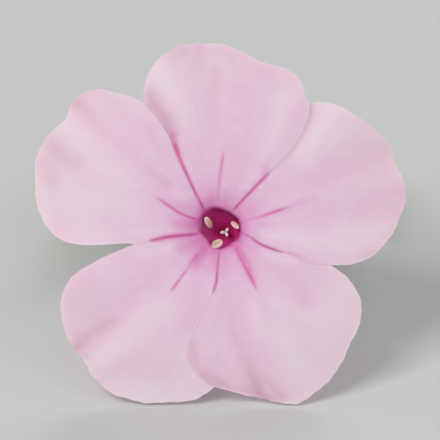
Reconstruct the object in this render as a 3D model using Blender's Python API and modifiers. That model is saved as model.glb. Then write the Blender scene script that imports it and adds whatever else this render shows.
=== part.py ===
"""A picked phlox sprig lying on a surface: one open flower, two buds, two leaves and the cut stem.

Metres, +Z up. The flower looks towards -Y and 25 degrees up, and the stem lies behind it along +Y.
The origin is on the surface, under the middle of the whole sprig.
"""

import math

import bmesh
import bpy
import numpy as np
from mathutils import Matrix, Vector

MM = 0.001
TAU = 2.0 * math.pi
MERGE = 0.00001
GAP = 0.3

# Where the open flower's face stands, in degrees and millimetres
FACE_TILT = 25.0
FACE_HEIGHT = 12.2
FACE_Y = -21.9

# The lobes, in millimetres: their thickness, and the bowl and pinwheel twist of their faces
BLADE = 0.6
ROOT_RADIUS = 1.75
LOBE_COLUMNS = 20
LOBE_ROWS = 8
BOWL_RISE = 0.18
BOWL_FALL = 0.0175
THROAT_DIP = 0.4
THROAT_DIP_WIDTH = 0.7
PINWHEEL = 0.48
PINWHEEL_START = 1.2
PINWHEEL_WIDTH = 2.2

# Each lobe, in millimetres from the middle of the face, x right and y up: the arc it grows from in
# degrees, its rim from its right side round to its left, and its folds as (place across the lobe,
# width, height at the rim)
LOBES = {
    "top": (
        (44, 124),
        (
            (3.8, 4.2), (6.1, 7.3), (6.7, 9.6), (5.9, 11.3), (4.2, 12.3), (2.8, 12.7), (1.5, 13.4),
            (0.0, 13.9), (-2.7, 13.8), (-4.5, 13.0), (-5.5, 11.0), (-5.8, 8.8), (-5.0, 6.2), (-3.7, 4.2),
        ),
        ((0.30, 0.05, -0.45), (0.40, 0.06, 0.35), (0.55, 0.10, -0.35), (0.70, 0.07, 0.25)),
    ),
    "right": (
        (-24, 54),
        (
            (5.3, -2.0), (8.5, -2.8), (10.7, -2.6), (12.5, -1.2), (13.4, 0.3), (13.7, 1.4), (14.0, 1.9),
            (14.0, 3.2), (13.3, 4.9), (12.5, 6.6), (10.3, 8.4), (8.1, 9.6), (5.9, 9.5), (4.3, 8.0),
            (2.3, 4.5),
        ),
        ((0.28, 0.07, -0.35), (0.42, 0.05, 0.30), (0.55, 0.07, -0.45), (0.68, 0.06, 0.30)),
    ),
    "lower_right": (
        (-100, -14),
        (
            (-0.6, -4.9), (-1.9, -8.0), (-2.2, -9.7), (-1.3, -11.3), (-0.3, -12.0), (1.6, -12.6),
            (3.9, -13.3), (5.8, -13.5), (7.0, -12.7), (9.1, -10.6), (10.0, -8.7), (10.5, -7.6),
            (10.9, -6.0), (9.8, -3.6), (7.2, -1.9), (4.7, -1.0),
        ),
        ((0.30, 0.05, -0.45), (0.42, 0.06, 0.35), (0.58, 0.08, 0.20), (0.70, 0.05, -0.30)),
    ),
    "lower_left": (
        (-174, -90),
        (
            (-6.2, -1.1), (-8.7, -2.1), (-11.1, -3.6), (-12.1, -6.0), (-11.3, -8.9), (-9.9, -10.5),
            (-9.7, -11.0), (-8.2, -12.5), (-5.5, -13.3), (-2.2, -13.1), (-0.5, -12.2), (0.5, -10.0),
            (0.6, -7.5), (0.2, -5.0),
        ),
        ((0.30, 0.06, 0.25), (0.40, 0.045, -0.45), (0.55, 0.09, 0.30), (0.74, 0.06, -0.20)),
    ),
    "left": (
        (114, 196),
        (
            (-2.5, 4.1), (-4.3, 7.7), (-5.8, 9.6), (-8.1, 10.4), (-9.9, 10.4), (-11.3, 9.3),
            (-11.6, 8.3), (-12.6, 7.4), (-13.7, 5.5), (-14.0, 3.2), (-13.4, 0.5), (-11.6, -1.0),
            (-9.5, -1.4), (-6.1, -1.6),
        ),
        ((0.26, 0.06, 0.25), (0.40, 0.05, -0.50), (0.54, 0.08, 0.25), (0.70, 0.07, -0.25)),
    ),
}

# The tube and its flared throat, in millimetres: radius and height, down the outside and up the inside
TUBE_LENGTH = 19.0
TUBE_WALL = 0.45
TUBE_SIDES = 20
THROAT_OUTSIDE = ((3.4, -0.02), (2.6, -0.17), (2.15, -0.38), (1.92, -0.75))
TUBE_OUTSIDE = ((1.8, -1.4), (1.75, -4.0), (1.5, -7.0), (1.25, -9.0), (1.2, -12.0), (1.15, -TUBE_LENGTH))
THROAT_INSIDE = ((1.37, -0.8), (1.45, -0.2), (1.62, 0.14), (1.85, 0.34), (2.1, 0.36), (2.6, 0.3), (3.4, 0.43))

# The calyx, in millimetres: a cup round the foot of the tube, with five teeth
CALYX_INNER = 1.35
CALYX_LENGTH = 10.0
CALYX_WALL = 0.4
CALYX_COLUMNS = 30
CALYX_ROWS = 6
CALYX_RIB = 0.12
CALYX_TEETH = 5
TOOTH_LENGTH = 4.2
TOOTH_CURVE = 0.8
FLOOR_SHARE = 1.0 / 3.0
FLOOR_RISE = 0.6

# Each stamen, in millimetres: the middle of its anther, which way it leans, and how deep its foot is
STAMENS = (
    ((-0.84, 0.40, -0.55), (0.38, -0.62), 3.4),
    ((1.06, 0.22, -0.50), (0.42, -0.50), 3.2),
    ((-0.13, -1.00, -0.42), (0.45, 0.20), 3.0),
    ((0.34, 0.78, -4.3), (0.10, 0.15), 6.4),
    ((-0.66, -0.52, -5.2), (0.12, 0.10), 7.2),
)
ANTHER = (0.27, 0.22, 0.62)
FILAMENT_RADIUS = 0.13
FILAMENT_BOW = 0.05
FILAMENT_CLEARANCE = 0.12

# The pistil, in millimetres: its ovary, the path of its style and the ends of the stigma's lobes
OVARY_RADIUS = 0.48
OVARY_HALF_LENGTH = 1.05
OVARY_HEIGHT = -17.95
STYLE = ((0.0, 0.0, -17.6), (0.05, -0.05, -12.0), (0.22, -0.18, -6.0), (0.44, -0.32, -1.2))
STYLE_RADIUS = 0.17
STIGMA_LOBES = ((0.14, -0.36, -0.85), (0.60, -0.04, -0.85), (0.60, -0.60, -0.9))
STIGMA_RADII = (0.12, 0.13, 0.1)
STIGMA_SINK = 0.12

# The stem, in millimetres: from the calyx back to the cut, with its radius at each point
STEM_PATH = ((0.0, -3.6, 4.05), (0.0, 0.0, 2.5), (0.0, 4.0, 1.35), (0.0, 8.5, 0.95), (0.0, 12.0, 0.98),
             (0.0, 16.0, 0.95), (0.3, 22.0, 0.95), (0.8, 27.8, 0.95))
STEM_RADII = (0.62, 0.66, 0.76, 0.95, 1.3, 1.08, 1.08, 1.1)
STALK_ROOT = (0.35, 12.6, 1.2)
STALK_RADII = (0.6, 0.5, 0.45, 0.5)
STALK_ARCH = 0.6
STALK_END = 1.2

# Each leaf, in millimetres: its foot, the point that it bends towards, its tip and its width
LEAVES = {
    "leaf_left": ((-1.75, 11.6, 1.5), (-8.6, 9.0, 3.0), (-11.6, -4.4, 7.0), 6.6),
    "leaf_right": ((1.75, 12.0, 1.5), (8.2, 10.0, 3.4), (11.2, -2.6, 6.2), 6.2),
}
LEAF_COLUMNS = 8
LEAF_ROWS = 16
LEAF_FOOT_SHARE = 0.16
LEAF_TIP_SHARE = 0.03
LEAF_KEEL = 0.22
LEAF_WAVE = 0.22
LEAF_WAVES = 2.5

# Each bud, in millimetres: its foot, its tip, the length of its calyx and the radius of its furled head
BUDS = {
    "left": ((-2.6, 4.0, 5.0), (-5.2, -8.0, 9.6), 5.6, 1.45),
    "right": ((2.2, 6.2, 5.0), (4.4, -2.2, 8.6), 4.2, 1.15),
}
BUD_NECK = 0.75
BUD_COLUMNS = 20
BUD_ROWS = 12
BUD_HEAD_START = 0.75
BUD_HEAD_WIDTH = 0.32
BUD_TAPER_START = 0.66
BUD_FURROW = 0.10
BUD_TWIST = 0.9
BUD_CALYX_GAP = 0.15
BUD_CALYX_COLUMNS = 20
BUD_TOOTH_SHARE = 0.4

PETAL_PINK = (0.80, 0.52, 0.66)
BUD_PINK = (0.72, 0.36, 0.54)
ANTHER_CREAM = (0.78, 0.66, 0.40)
STIGMA_PALE = (0.86, 0.62, 0.70)
CALYX_GREEN = (0.16, 0.30, 0.07)
LEAF_GREEN = (0.07, 0.19, 0.035)
STEM_GREEN = (0.20, 0.28, 0.09)


def clear_scene():
    """Remove what the file starts with, so that only the sprig is left."""
    for item in list(bpy.data.objects):
        bpy.data.objects.remove(item, do_unlink=True)


def make_collection(name):
    """Make a collection under the scene's own."""
    collection = bpy.data.collections.new(name)
    bpy.context.scene.collection.children.link(collection)
    return collection


def make_material(name, colour, roughness):
    """Make a Principled material of one colour."""
    material = bpy.data.materials.new(name)
    material.use_nodes = True
    shader = material.node_tree.nodes["Principled BSDF"]
    shader.inputs["Base Color"].default_value = (*colour, 1.0)
    shader.inputs["Roughness"].default_value = roughness
    shader.inputs["Metallic"].default_value = 0.0
    return material


def make_object(name, mesh, collection, parent=None, material=None):
    """Put a mesh in a collection as a named object."""
    item = bpy.data.objects.new(name, mesh)
    collection.objects.link(item)
    item.parent = parent
    if material:
        mesh.materials.clear()
        mesh.materials.append(material)
    return item


def make_empty(name, collection, location, rotation=(0.0, 0.0, 0.0), parent=None):
    """Place an empty that carries other objects. Its place is in millimetres."""
    item = bpy.data.objects.new(name, None)
    collection.objects.link(item)
    item.location = Vector(location) * MM
    item.rotation_euler = rotation
    item.parent = parent
    return item


def evaluated_mesh(item, name):
    """Take an object's mesh with its modifiers applied, in the object's own frame."""
    graph = bpy.context.evaluated_depsgraph_get()
    mesh = bpy.data.meshes.new_from_object(item.evaluated_get(graph))
    mesh.name = name
    return mesh


def ease(value):
    """Ease from 0 to 1."""
    value = min(max(value, 0.0), 1.0)
    return value * value * (3.0 - 2.0 * value)


def smooth_curve(points, steps):
    """Run a smooth curve through a few points, in a number of steps from each to the next."""
    points = np.array(points, dtype=float)
    ends = np.vstack([2 * points[0] - points[1], points, 2 * points[-1] - points[-2]])
    curve = []
    for a, b, c, d in zip(ends, ends[1:], ends[2:], ends[3:]):
        for step in range(steps):
            x = step / steps
            square = 2 * a - 5 * b + 4 * c - d
            cube = 3 * b - a - 3 * c + d
            curve.append(0.5 * (2 * b + (c - a) * x + square * x**2 + cube * x**3))
    curve.append(points[-1])
    return np.array(curve)


def spread_along(points, count):
    """Take evenly spaced points along the smooth curve through the given ones."""
    curve = smooth_curve(points, 12)
    lengths = np.linalg.norm(np.diff(curve, axis=0), axis=1)
    travelled = np.concatenate([[0.0], np.cumsum(lengths)])
    wanted = np.linspace(0.0, travelled[-1], count)
    return np.stack([np.interp(wanted, travelled, values) for values in curve.T], axis=1)


def grid_mesh(name, columns, rows, place, closed=False):
    """Move a grid by a formula: place(across, along) gives a point in millimetres."""
    mesh = bpy.data.meshes.new(name)
    shape = bmesh.new()
    bmesh.ops.create_grid(shape, x_segments=columns, y_segments=rows, size=1.0)
    for vertex in shape.verts:
        across = (vertex.co.x + 1.0) / 2.0
        along = (vertex.co.y + 1.0) / 2.0
        vertex.co = Vector(place(across, along)) * MM
    if closed:
        bmesh.ops.remove_doubles(shape, verts=shape.verts, dist=MERGE)
        bmesh.ops.recalc_face_normals(shape, faces=shape.faces)
    bmesh.ops.triangulate(shape, faces=shape.faces)
    shape.to_mesh(mesh)
    shape.free()
    mesh.shade_smooth()
    return mesh


def thicken(item, thickness):
    """Give a sheet its thickness in millimetres, half to each side."""
    solidify = item.modifiers.new("thickness", "SOLIDIFY")
    solidify.thickness = thickness * MM
    solidify.offset = 0.0


def turned_mesh(name, profile, sides):
    """Turn a closed profile of (radius, height) points in millimetres round the Z axis."""
    outline = bpy.data.meshes.new(name)
    corners = [(radius * MM, 0.0, height * MM) for radius, height in profile]
    edges = [(index, (index + 1) % len(corners)) for index in range(len(corners))]
    outline.from_pydata(corners, edges, [])
    item = bpy.data.objects.new(name, outline)
    bpy.context.scene.collection.objects.link(item)
    screw = item.modifiers.new("turn", "SCREW")
    screw.steps = sides
    screw.render_steps = sides
    screw.use_merge_vertices = True
    screw.merge_threshold = MERGE
    mesh = evaluated_mesh(item, name)
    bpy.data.objects.remove(item, do_unlink=True)
    shape = bmesh.new()
    shape.from_mesh(mesh)
    bmesh.ops.remove_doubles(shape, verts=shape.verts, dist=MERGE)
    bmesh.ops.recalc_face_normals(shape, faces=shape.faces)
    shape.to_mesh(mesh)
    shape.free()
    return mesh


def ellipsoid_mesh(name, sides, rings, place):
    """Make a round body: place turns, stretches and moves a ball of radius 1."""
    shape = bmesh.new()
    bmesh.ops.create_uvsphere(shape, u_segments=sides, v_segments=rings, radius=1.0)
    shape.transform(place)
    mesh = bpy.data.meshes.new(name)
    shape.to_mesh(mesh)
    shape.free()
    return mesh


def tube_object(name, points, radii, collection, steps, resolution):
    """Run a round stalk through points, all in millimetres, as a closed mesh."""
    curve = bpy.data.curves.new(name, "CURVE")
    curve.dimensions = "3D"
    curve.bevel_depth = MM
    curve.bevel_resolution = resolution
    curve.use_fill_caps = True
    path = smooth_curve(points, steps)
    sizes = smooth_curve([(radius,) for radius in radii], steps)
    spline = curve.splines.new("POLY")
    spline.points.add(len(path) - 1)
    for point, place, size in zip(spline.points, path, sizes):
        point.co = (*(place * MM), 1.0)
        point.radius = size[0]
    item = bpy.data.objects.new(name, curve)
    collection.objects.link(item)
    mesh = evaluated_mesh(item, name)
    bpy.data.objects.remove(item, do_unlink=True)
    shape = bmesh.new()
    shape.from_mesh(mesh)
    bmesh.ops.remove_doubles(shape, verts=shape.verts, dist=MERGE)
    shape.to_mesh(mesh)
    shape.free()
    return make_object(name, mesh, collection)


def keep_outer_body(mesh):
    """Fill the pockets that joining seals: keep the largest closed surface and drop the others."""
    shape = bmesh.new()
    shape.from_mesh(mesh)
    bmesh.ops.triangulate(shape, faces=shape.faces)
    waiting = set(shape.faces)
    bodies = []
    while waiting:
        body = [waiting.pop()]
        for face in body:
            for edge in face.edges:
                near = [other for other in edge.link_faces if other in waiting]
                waiting.difference_update(near)
                body.extend(near)
        bodies.append(body)
    bodies.sort(key=len)
    extra = [face for body in bodies[:-1] for face in body]
    bmesh.ops.delete(shape, geom=extra, context="FACES")
    shape.to_mesh(mesh)
    shape.free()


def union_mesh(name, items):
    """Join solids by one Boolean on a collection, and remove them."""
    pieces = make_collection(name + "_pieces")
    first = items[0]
    for item in items[1:]:
        for owner in list(item.users_collection):
            owner.objects.unlink(item)
        pieces.objects.link(item)
    join = first.modifiers.new("join", "BOOLEAN")
    join.operation = "UNION"
    join.operand_type = "COLLECTION"
    join.collection = pieces
    join.solver = "MANIFOLD"
    mesh = evaluated_mesh(first, name)
    keep_outer_body(mesh)
    for item in items:
        bpy.data.objects.remove(item, do_unlink=True)
    bpy.data.collections.remove(pieces)
    return mesh


def lobe_height(radius):
    """Height of the open face above its middle, by distance from its axis, in millimetres."""
    reach = radius - ROOT_RADIUS
    dip = THROAT_DIP * (1.0 - ease(reach / THROAT_DIP_WIDTH))
    return BOWL_RISE * reach - BOWL_FALL * reach**2 - dip


def lobe_place(lobe):
    """Give the formula of a lobe's middle surface: rays from its root to its rim."""
    (start, end), rim, folds = LOBES[lobe]
    edge = spread_along(rim, LOBE_COLUMNS + 1)

    def place(across, along):
        turn = math.radians(start + (end - start) * across)
        root = np.array((ROOT_RADIUS * math.cos(turn), ROOT_RADIUS * math.sin(turn)))
        x, y = root + (edge[round(across * LOBE_COLUMNS)] - root) * along
        radius = math.hypot(x, y)
        grown = ease((radius - PINWHEEL_START) / PINWHEEL_WIDTH)
        lift = PINWHEEL * grown * math.cos(math.pi * across)
        fold = sum(height * math.exp(-(((across - middle) / width) ** 2)) for middle, width, height in folds)
        return x, y, lobe_height(radius) + lift + fold * along**2

    return place


def make_corolla(collection, parent, material):
    """Five lobes grown together at the throat, and the tube behind them."""
    inside = [(radius - TUBE_WALL, height) for radius, height in reversed(TUBE_OUTSIDE)]
    profile = [*THROAT_OUTSIDE, *TUBE_OUTSIDE, *inside, *THROAT_INSIDE]
    pieces = [make_object("tube", turned_mesh("tube", profile, TUBE_SIDES), collection)]
    for lobe in LOBES:
        blade = make_object(lobe, grid_mesh(lobe, LOBE_COLUMNS, LOBE_ROWS, lobe_place(lobe)), collection)
        thicken(blade, BLADE)
        pieces.append(blade)
    mesh = union_mesh("corolla", pieces)
    mesh.set_sharp_from_angle(angle=math.radians(40))
    return make_object("corolla", mesh, collection, parent, material)


def calyx_place(inner, length, tooth):
    """Give the formula of a five-toothed cup's middle surface, with its foot at zero."""
    radius = inner + CALYX_WALL / 2.0

    def place(across, along):
        turn = TAU * across
        beside = abs((across * CALYX_TEETH) % 1.0 - 0.5) * 2.0
        if along < FLOOR_SHARE:
            swing = 0.5 * math.pi * along / FLOOR_SHARE
            reach = radius * math.sin(swing)
            height = FLOOR_RISE * (1.0 - math.cos(swing))
        else:
            climb = (along - FLOOR_SHARE) / (1.0 - FLOOR_SHARE)
            top = length - tooth * beside**TOOTH_CURVE
            reach = radius + CALYX_RIB * (1.0 - beside) * climb
            height = FLOOR_RISE + (top - FLOOR_RISE) * climb
        return reach * math.cos(turn), reach * math.sin(turn), height

    return place


def make_calyx(name, size, columns, collection, parent, material):
    """A green cup with five narrow teeth: its size is its inner radius, length and tooth length."""
    mesh = grid_mesh(name, columns, CALYX_ROWS, calyx_place(*size), closed=True)
    thicken(make_object(name, mesh, collection, parent, material), CALYX_WALL)


def tube_inside(depth):
    """Radius of the tube's inside at a depth behind the face, in millimetres."""
    depths = [-height for _, height in TUBE_OUTSIDE]
    return float(np.interp(depth, depths, [radius - TUBE_WALL for radius, _ in TUBE_OUTSIDE]))


def make_stamen(name, stamen, collection, parent, material):
    """An anther on a short filament that rises from the tube's wall."""
    middle, lean, foot_depth = stamen
    middle = Vector(middle)
    axis = Vector((*lean, 1.0)).normalized()
    turn = axis.to_track_quat("Z", "Y").to_matrix().to_4x4()
    stretch = Matrix.Diagonal(Vector(ANTHER) * MM).to_4x4()
    body = ellipsoid_mesh(name + "_anther", 10, 8, Matrix.Translation(middle * MM) @ turn @ stretch)
    anther = make_object(name + "_anther", body, collection)
    outward = Vector((middle.x, middle.y, 0.0)).normalized()
    foot = outward * (tube_inside(foot_depth) - FILAMENT_RADIUS - FILAMENT_CLEARANCE)
    foot.z = -foot_depth
    back = middle - axis * ANTHER[2] * 0.5
    path = (foot, foot.lerp(back, 0.5) + outward * FILAMENT_BOW, back)
    filament = tube_object(name + "_filament", path, [FILAMENT_RADIUS] * 3, collection, 2, 1)
    mesh = union_mesh(name, [anther, filament])
    mesh.shade_smooth()
    make_object(name, mesh, collection, parent, material)


def make_pistil(collection, parent, material):
    """Ovary, long style and a stigma of three lobes."""
    size = Vector((OVARY_RADIUS, OVARY_RADIUS, OVARY_HALF_LENGTH)) * MM
    place = Matrix.Translation((0.0, 0.0, OVARY_HEIGHT * MM)) @ Matrix.Diagonal(size).to_4x4()
    pieces = [make_object("ovary", ellipsoid_mesh("ovary", 12, 8, place), collection)]
    pieces.append(tube_object("style", STYLE, [STYLE_RADIUS] * len(STYLE), collection, 3, 1))
    start = Vector(STYLE[-1]) - Vector((0.0, 0.0, STIGMA_SINK))
    for number, end in enumerate(STIGMA_LOBES, start=1):
        path = (start, start.lerp(Vector(end), 0.6), Vector(end))
        pieces.append(tube_object(f"stigma_{number}", path, STIGMA_RADII, collection, 1, 1))
    mesh = union_mesh("pistil", pieces)
    mesh.shade_smooth()
    make_object("pistil", mesh, collection, parent, material)


def leaf_place(leaf):
    """Give the formula of a leaf's middle surface: a pointed blade with a keel and waved edges."""
    foot, bend, tip, width = LEAVES[leaf]
    foot, bend, tip = Vector(foot), Vector(bend), Vector(tip)

    def place(across, along):
        side = 2.0 * across - 1.0
        rest = 1.0 - along
        middle = foot * rest**2 + bend * (2.0 * rest * along) + tip * along**2
        way = (bend - foot) * rest + (tip - bend) * along
        sideways = Vector((way.y, -way.x, 0.0)).normalized()
        shape = LEAF_FOOT_SHARE * rest + LEAF_TIP_SHARE + math.sin(math.pi * along**0.9) ** 1.15
        reach = 0.5 * width * shape * side
        wave = math.sin(TAU * LEAF_WAVES * along + 2.0 * side)
        point = middle + sideways * reach
        point.z += LEAF_KEEL * abs(reach) + LEAF_WAVE * abs(side) * wave
        return point

    return place


def make_leaf(name, collection, parent, material):
    """One of the two small upper leaves."""
    mesh = grid_mesh(name, LEAF_COLUMNS, LEAF_ROWS, leaf_place(name))
    thicken(make_object(name, mesh, collection, parent, material), BLADE)


def bud_place(length, calyx, head):
    """Give the formula of a furled corolla: a slim neck and a pointed head with a spiral of five lobes."""
    start = CALYX_WALL + GAP

    def place(across, along):
        height = start + (length - start) * along
        swell = ease((height - calyx * BUD_HEAD_START) / (length * BUD_HEAD_WIDTH))
        past = max(height / length - BUD_TAPER_START, 0.0) / (1.0 - BUD_TAPER_START)
        taper = max(1.0 - past**1.7, 0.0) ** 0.75
        foot = math.sqrt(ease(along * BUD_ROWS))
        turn = TAU * across
        furrow = 1.0 + BUD_FURROW * swell * math.cos(5.0 * turn + BUD_TWIST * height)
        radius = (BUD_NECK + (head - BUD_NECK) * swell) * taper * foot * furrow
        return radius * math.cos(turn), radius * math.sin(turn), height

    return place


def make_bud(side, collection, parent, petal, green):
    """A bud on the end of its stalk: the furled corolla in its own calyx."""
    foot, tip, calyx, head = BUDS[side]
    way = Vector(tip) - Vector(foot)
    turn = way.to_track_quat("Z", "Y").to_euler()
    holder = make_empty(f"bud_holder_{side}", collection, foot, turn, parent)
    mesh = grid_mesh(f"bud_{side}", BUD_COLUMNS, BUD_ROWS, bud_place(way.length, calyx, head), closed=True)
    make_object(f"bud_{side}", mesh, collection, holder, petal)
    size = (BUD_NECK + BUD_CALYX_GAP, calyx, calyx * BUD_TOOTH_SHARE)
    make_calyx(f"bud_calyx_{side}", size, BUD_CALYX_COLUMNS, collection, holder, green)


def make_stem(collection, parent, material):
    """The cut stem with the flower's stalk, and the two bud stalks that grow from its node."""
    pieces = [tube_object("stem_main", STEM_PATH, STEM_RADII, collection, 4, 2)]
    for side, (foot, tip, _, _) in BUDS.items():
        foot = Vector(foot)
        way = (Vector(tip) - foot).normalized()
        end = foot - way * (CALYX_WALL / 2.0 + GAP)
        root = Vector((math.copysign(STALK_ROOT[0], foot.x), *STALK_ROOT[1:]))
        middle = root.lerp(end, 0.4) + Vector((0.0, 0.0, STALK_ARCH))
        path = (root, middle, end - way * STALK_END, end)
        pieces.append(tube_object(f"stalk_{side}", path, STALK_RADII, collection, 3, 1))
    mesh = union_mesh("stem", pieces)
    mesh.set_sharp_from_angle(angle=math.radians(50))
    return make_object("stem", mesh, collection, parent, material)


def press_flat(items, cutters):
    """Cut the lowest spots flat, where the sprig rests on the surface."""
    bpy.ops.mesh.primitive_cube_add(size=1.0, location=(0.0, 0.0, -2.5 * MM))
    ground = bpy.context.active_object
    ground.name = "ground_cutter"
    ground.scale = (80.0 * MM, 80.0 * MM, 5.0 * MM)
    ground.hide_render = True
    ground.display_type = "WIRE"
    for owner in list(ground.users_collection):
        owner.objects.unlink(ground)
    cutters.objects.link(ground)
    for item in items:
        cut = item.modifiers.new("ground", "BOOLEAN")
        cut.operation = "DIFFERENCE"
        cut.solver = "MANIFOLD"
        cut.object = ground


def build():
    """Make every piece of the sprig."""
    clear_scene()
    sprig = make_collection("phlox_sprig")
    cutters = make_collection("cutters")
    root = make_empty("sprig", sprig, (0.0, 0.0, 0.0))
    upright = (math.radians(90.0 - FACE_TILT), 0.0, 0.0)
    flower = make_empty("flower", sprig, (0.0, FACE_Y, FACE_HEIGHT), upright, root)
    corolla = make_corolla(sprig, flower, make_material("petal_pink", PETAL_PINK, 0.55))
    anther = make_material("anther_cream", ANTHER_CREAM, 0.8)
    for number, stamen in enumerate(STAMENS, start=1):
        make_stamen(f"stamen_{number}", stamen, sprig, flower, anther)
    make_pistil(sprig, flower, make_material("stigma_pale", STIGMA_PALE, 0.5))
    green = make_material("calyx_green", CALYX_GREEN, 0.55)
    foot = (0.0, 0.0, -(TUBE_LENGTH + GAP + CALYX_WALL / 2.0))
    holder = make_empty("calyx_holder", sprig, foot, parent=flower)
    make_calyx("calyx", (CALYX_INNER, CALYX_LENGTH, TOOTH_LENGTH), CALYX_COLUMNS, sprig, holder, green)
    stem = make_stem(sprig, root, make_material("stem_green", STEM_GREEN, 0.5))
    leaf_green = make_material("leaf_green", LEAF_GREEN, 0.45)
    for leaf in LEAVES:
        make_leaf(leaf, sprig, root, leaf_green)
    bud_pink = make_material("bud_pink", BUD_PINK, 0.55)
    for side in BUDS:
        make_bud(side, sprig, root, bud_pink, green)
    press_flat((corolla, stem), cutters)


build()
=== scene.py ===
"""The looks of a picked phlox sprig: pink corolla, stamens, pistil, calyx, buds, leaves and stem.

Shapes are worked out in millimetres and written into the meshes in metres.
"""

import math

import bmesh
import bpy
import numpy as np
from mathutils import Matrix, Vector


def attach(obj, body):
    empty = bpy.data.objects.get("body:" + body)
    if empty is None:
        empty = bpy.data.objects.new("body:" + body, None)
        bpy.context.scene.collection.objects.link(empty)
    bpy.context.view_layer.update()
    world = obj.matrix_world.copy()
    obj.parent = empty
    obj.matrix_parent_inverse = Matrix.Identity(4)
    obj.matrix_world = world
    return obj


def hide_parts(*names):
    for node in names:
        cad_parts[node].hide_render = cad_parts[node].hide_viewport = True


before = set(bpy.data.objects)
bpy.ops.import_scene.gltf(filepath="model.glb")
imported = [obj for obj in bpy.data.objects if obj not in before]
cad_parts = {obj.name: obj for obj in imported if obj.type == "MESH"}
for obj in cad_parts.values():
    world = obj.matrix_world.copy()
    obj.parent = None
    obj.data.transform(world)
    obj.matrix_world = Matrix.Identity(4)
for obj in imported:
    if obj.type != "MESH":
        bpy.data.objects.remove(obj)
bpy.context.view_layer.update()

MM = 0.001
TAU = 2.0 * math.pi

# In metres: how near points are merged, and the smallest length and area that a way is divided by
MERGE = 1e-6
TINY_LENGTH = 1e-9
TINY_AREA = 1e-18

# How many steps a smooth curve, a painted route and the eye's edge take from each point to the next
CURVE_STEPS = 24
ROUTE_STEPS = 14
EDGE_STEPS = 12

# Where the open flower's face stands, in degrees and millimetres
FACE_TILT = math.radians(25.0)
FACE_TURN = math.radians(90.0) - FACE_TILT
FACE_CENTRE = Vector((0.0, -21.9, 12.2))
SPRIG = Matrix.Scale(MM, 4)
FLOWER = Matrix.Translation(FACE_CENTRE * MM) @ Matrix.Rotation(FACE_TURN, 4, "X") @ SPRIG

# The photograph's frame, in millimetres: how wide it is at the face, how far the camera stands from
# it, and where the flower's middle falls in it. The camera's own near limit is in metres
VIEW_WIDTH = 33.13
VIEW_DISTANCE = 350.0
VIEW_SHIFT = (0.04, 0.60)
VIEW_NEAR = 0.01
SENSOR = 36.0

# The surface and the light, in metres. Each light has its place, its size, its energy and its colour
FLOOR_SIZE = 4.0
FLOOR_HEIGHT = -0.00003
LIGHTS = {
    "key": ((-0.35, -0.45, 0.55), 0.35, 3.5, (1.0, 0.985, 0.97)),
    "fill": ((0.50, -0.45, 0.30), 0.5, 1.0, (0.95, 0.97, 1.0)),
    "back": ((0.15, 0.50, 0.45), 0.4, 1.3, (1.0, 1.0, 1.0)),
}
SKY = (0.93, 0.96, 1.0, 1.0)
SKY_STRENGTH = 0.36

# How far red, green and blue light travel inside a skin, beside one another
SCATTER = (0.6, 0.7, 0.65)

# The lobes' blades, in millimetres, with the columns and rows of their grid
LOBE_GRID = (128, 66)
BLADE = 0.24
RIM_SHARE = 0.15
THIN_WIDTH = 1.4
# The width of the thin painted highlight along the free rims
RIM_HIGHLIGHT = 0.12
RIM_RIPPLE = 0.022
RIM_WAVES = ((9.0, 3.0), (21.0, 1.0))
RIM_CALM = 20.0
ROOT_RADIUS = 2.0
BOWL_START = 1.75
BOWL_RISE = 0.18
BOWL_FALL = 0.0175
FACE_LIFT = 0.31
THROAT_DIP = 0.16
THROAT_DIP_WIDTH = 0.9
CREASE_DEPTH = 0.03
CREASE_WIDTH = 0.14
OVERLAP_WIDTH = 1.6
STEP_WIDTH = 1.8
TUCK = 0.3
TUCK_WIDTH = 1.0
RISE_WIDTH = 2.5
FINE_RIBS = 15.0
FINE_RIB_HEIGHT = 0.005
REST_HEIGHT = 0.05
REST_SOFTNESS = 0.2
REST_BELOW = 2.0

# The throat: radius and height up to the face, how far it leans aside and between which depths, and the
# shares of its length between which the eye's uneven edge and the lines grow and fade
THROAT_SHARE = 0.1
THROAT = ((1.57, -0.95), (1.48, -0.65), (1.43, -0.40), (1.46, -0.15), (1.62, 0.08), (2.0, 0.22))
THROAT_LEAN = (0.50, -0.34)
LEAN_FULL = 1.6
LEAN_KEPT = 3.0
LEAN_FADE = 4.0
LIP_START = 0.3
LIP_END = 0.75
LIP_LINES = 0.2
# Below this height the throat's colour is painted darker for each millimetre of depth, as painted shade
LIP_HEIGHT = 0.05
LIP_SHADE = 1.2
SEAM_PINCH = 0.5

# The fine lines: how deep they are, where along them they reach their full width and strength, and how
# much they thin and pale towards their ends
VEIN_DEPTH = 0.02
VEIN_WIDTHS = (0.75, 0.3)
VEIN_WIDE = 0.7
VEIN_STRONG = 0.6
VEIN_PALING = 0.3
VEIN_END = 0.2
VEIN_END_WIDTH = 0.4

# The eye's uneven edge, anticlockwise, in millimetres from the middle of the face, x right and y up
EYE_RADIUS = 1.45
EYE = (
    (1.49, 0.30), (1.32, 0.66), (0.95, 0.95), (0.54, 1.21), (0.0, 1.45), (-0.58, 1.42), (-1.06, 1.12),
    (-1.34, 0.62), (-1.44, 0.05), (-1.22, -0.44), (-0.84, -0.84), (-0.52, -1.27), (0.12, -1.42),
    (0.68, -1.16), (1.20, -0.80), (1.48, -0.34),
)
EYE_FADE = 2.2

# Where the eye's colour runs out over the face: points, half-width, and how far it runs at each end
STAINS = (
    (((-1.45, 0.65), (-1.62, 0.15), (-1.45, -0.45)), 0.42, 0.26, 0.28),
    (((-1.60, 0.50), (-1.85, 0.38)), 0.30, 0.42, 0.36),
    (((-1.30, -0.50), (-0.85, -1.05)), 0.42, 0.24, 0.30),
    (((0.15, -1.55), (0.75, -1.32)), 0.32, 0.20, 0.30),
    (((0.75, -1.32), (1.45, -0.85)), 0.34, 0.30, 0.22),
    (((-1.30, 1.20), (-0.60, 1.62)), 0.32, 0.20, 0.12),
)

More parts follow.
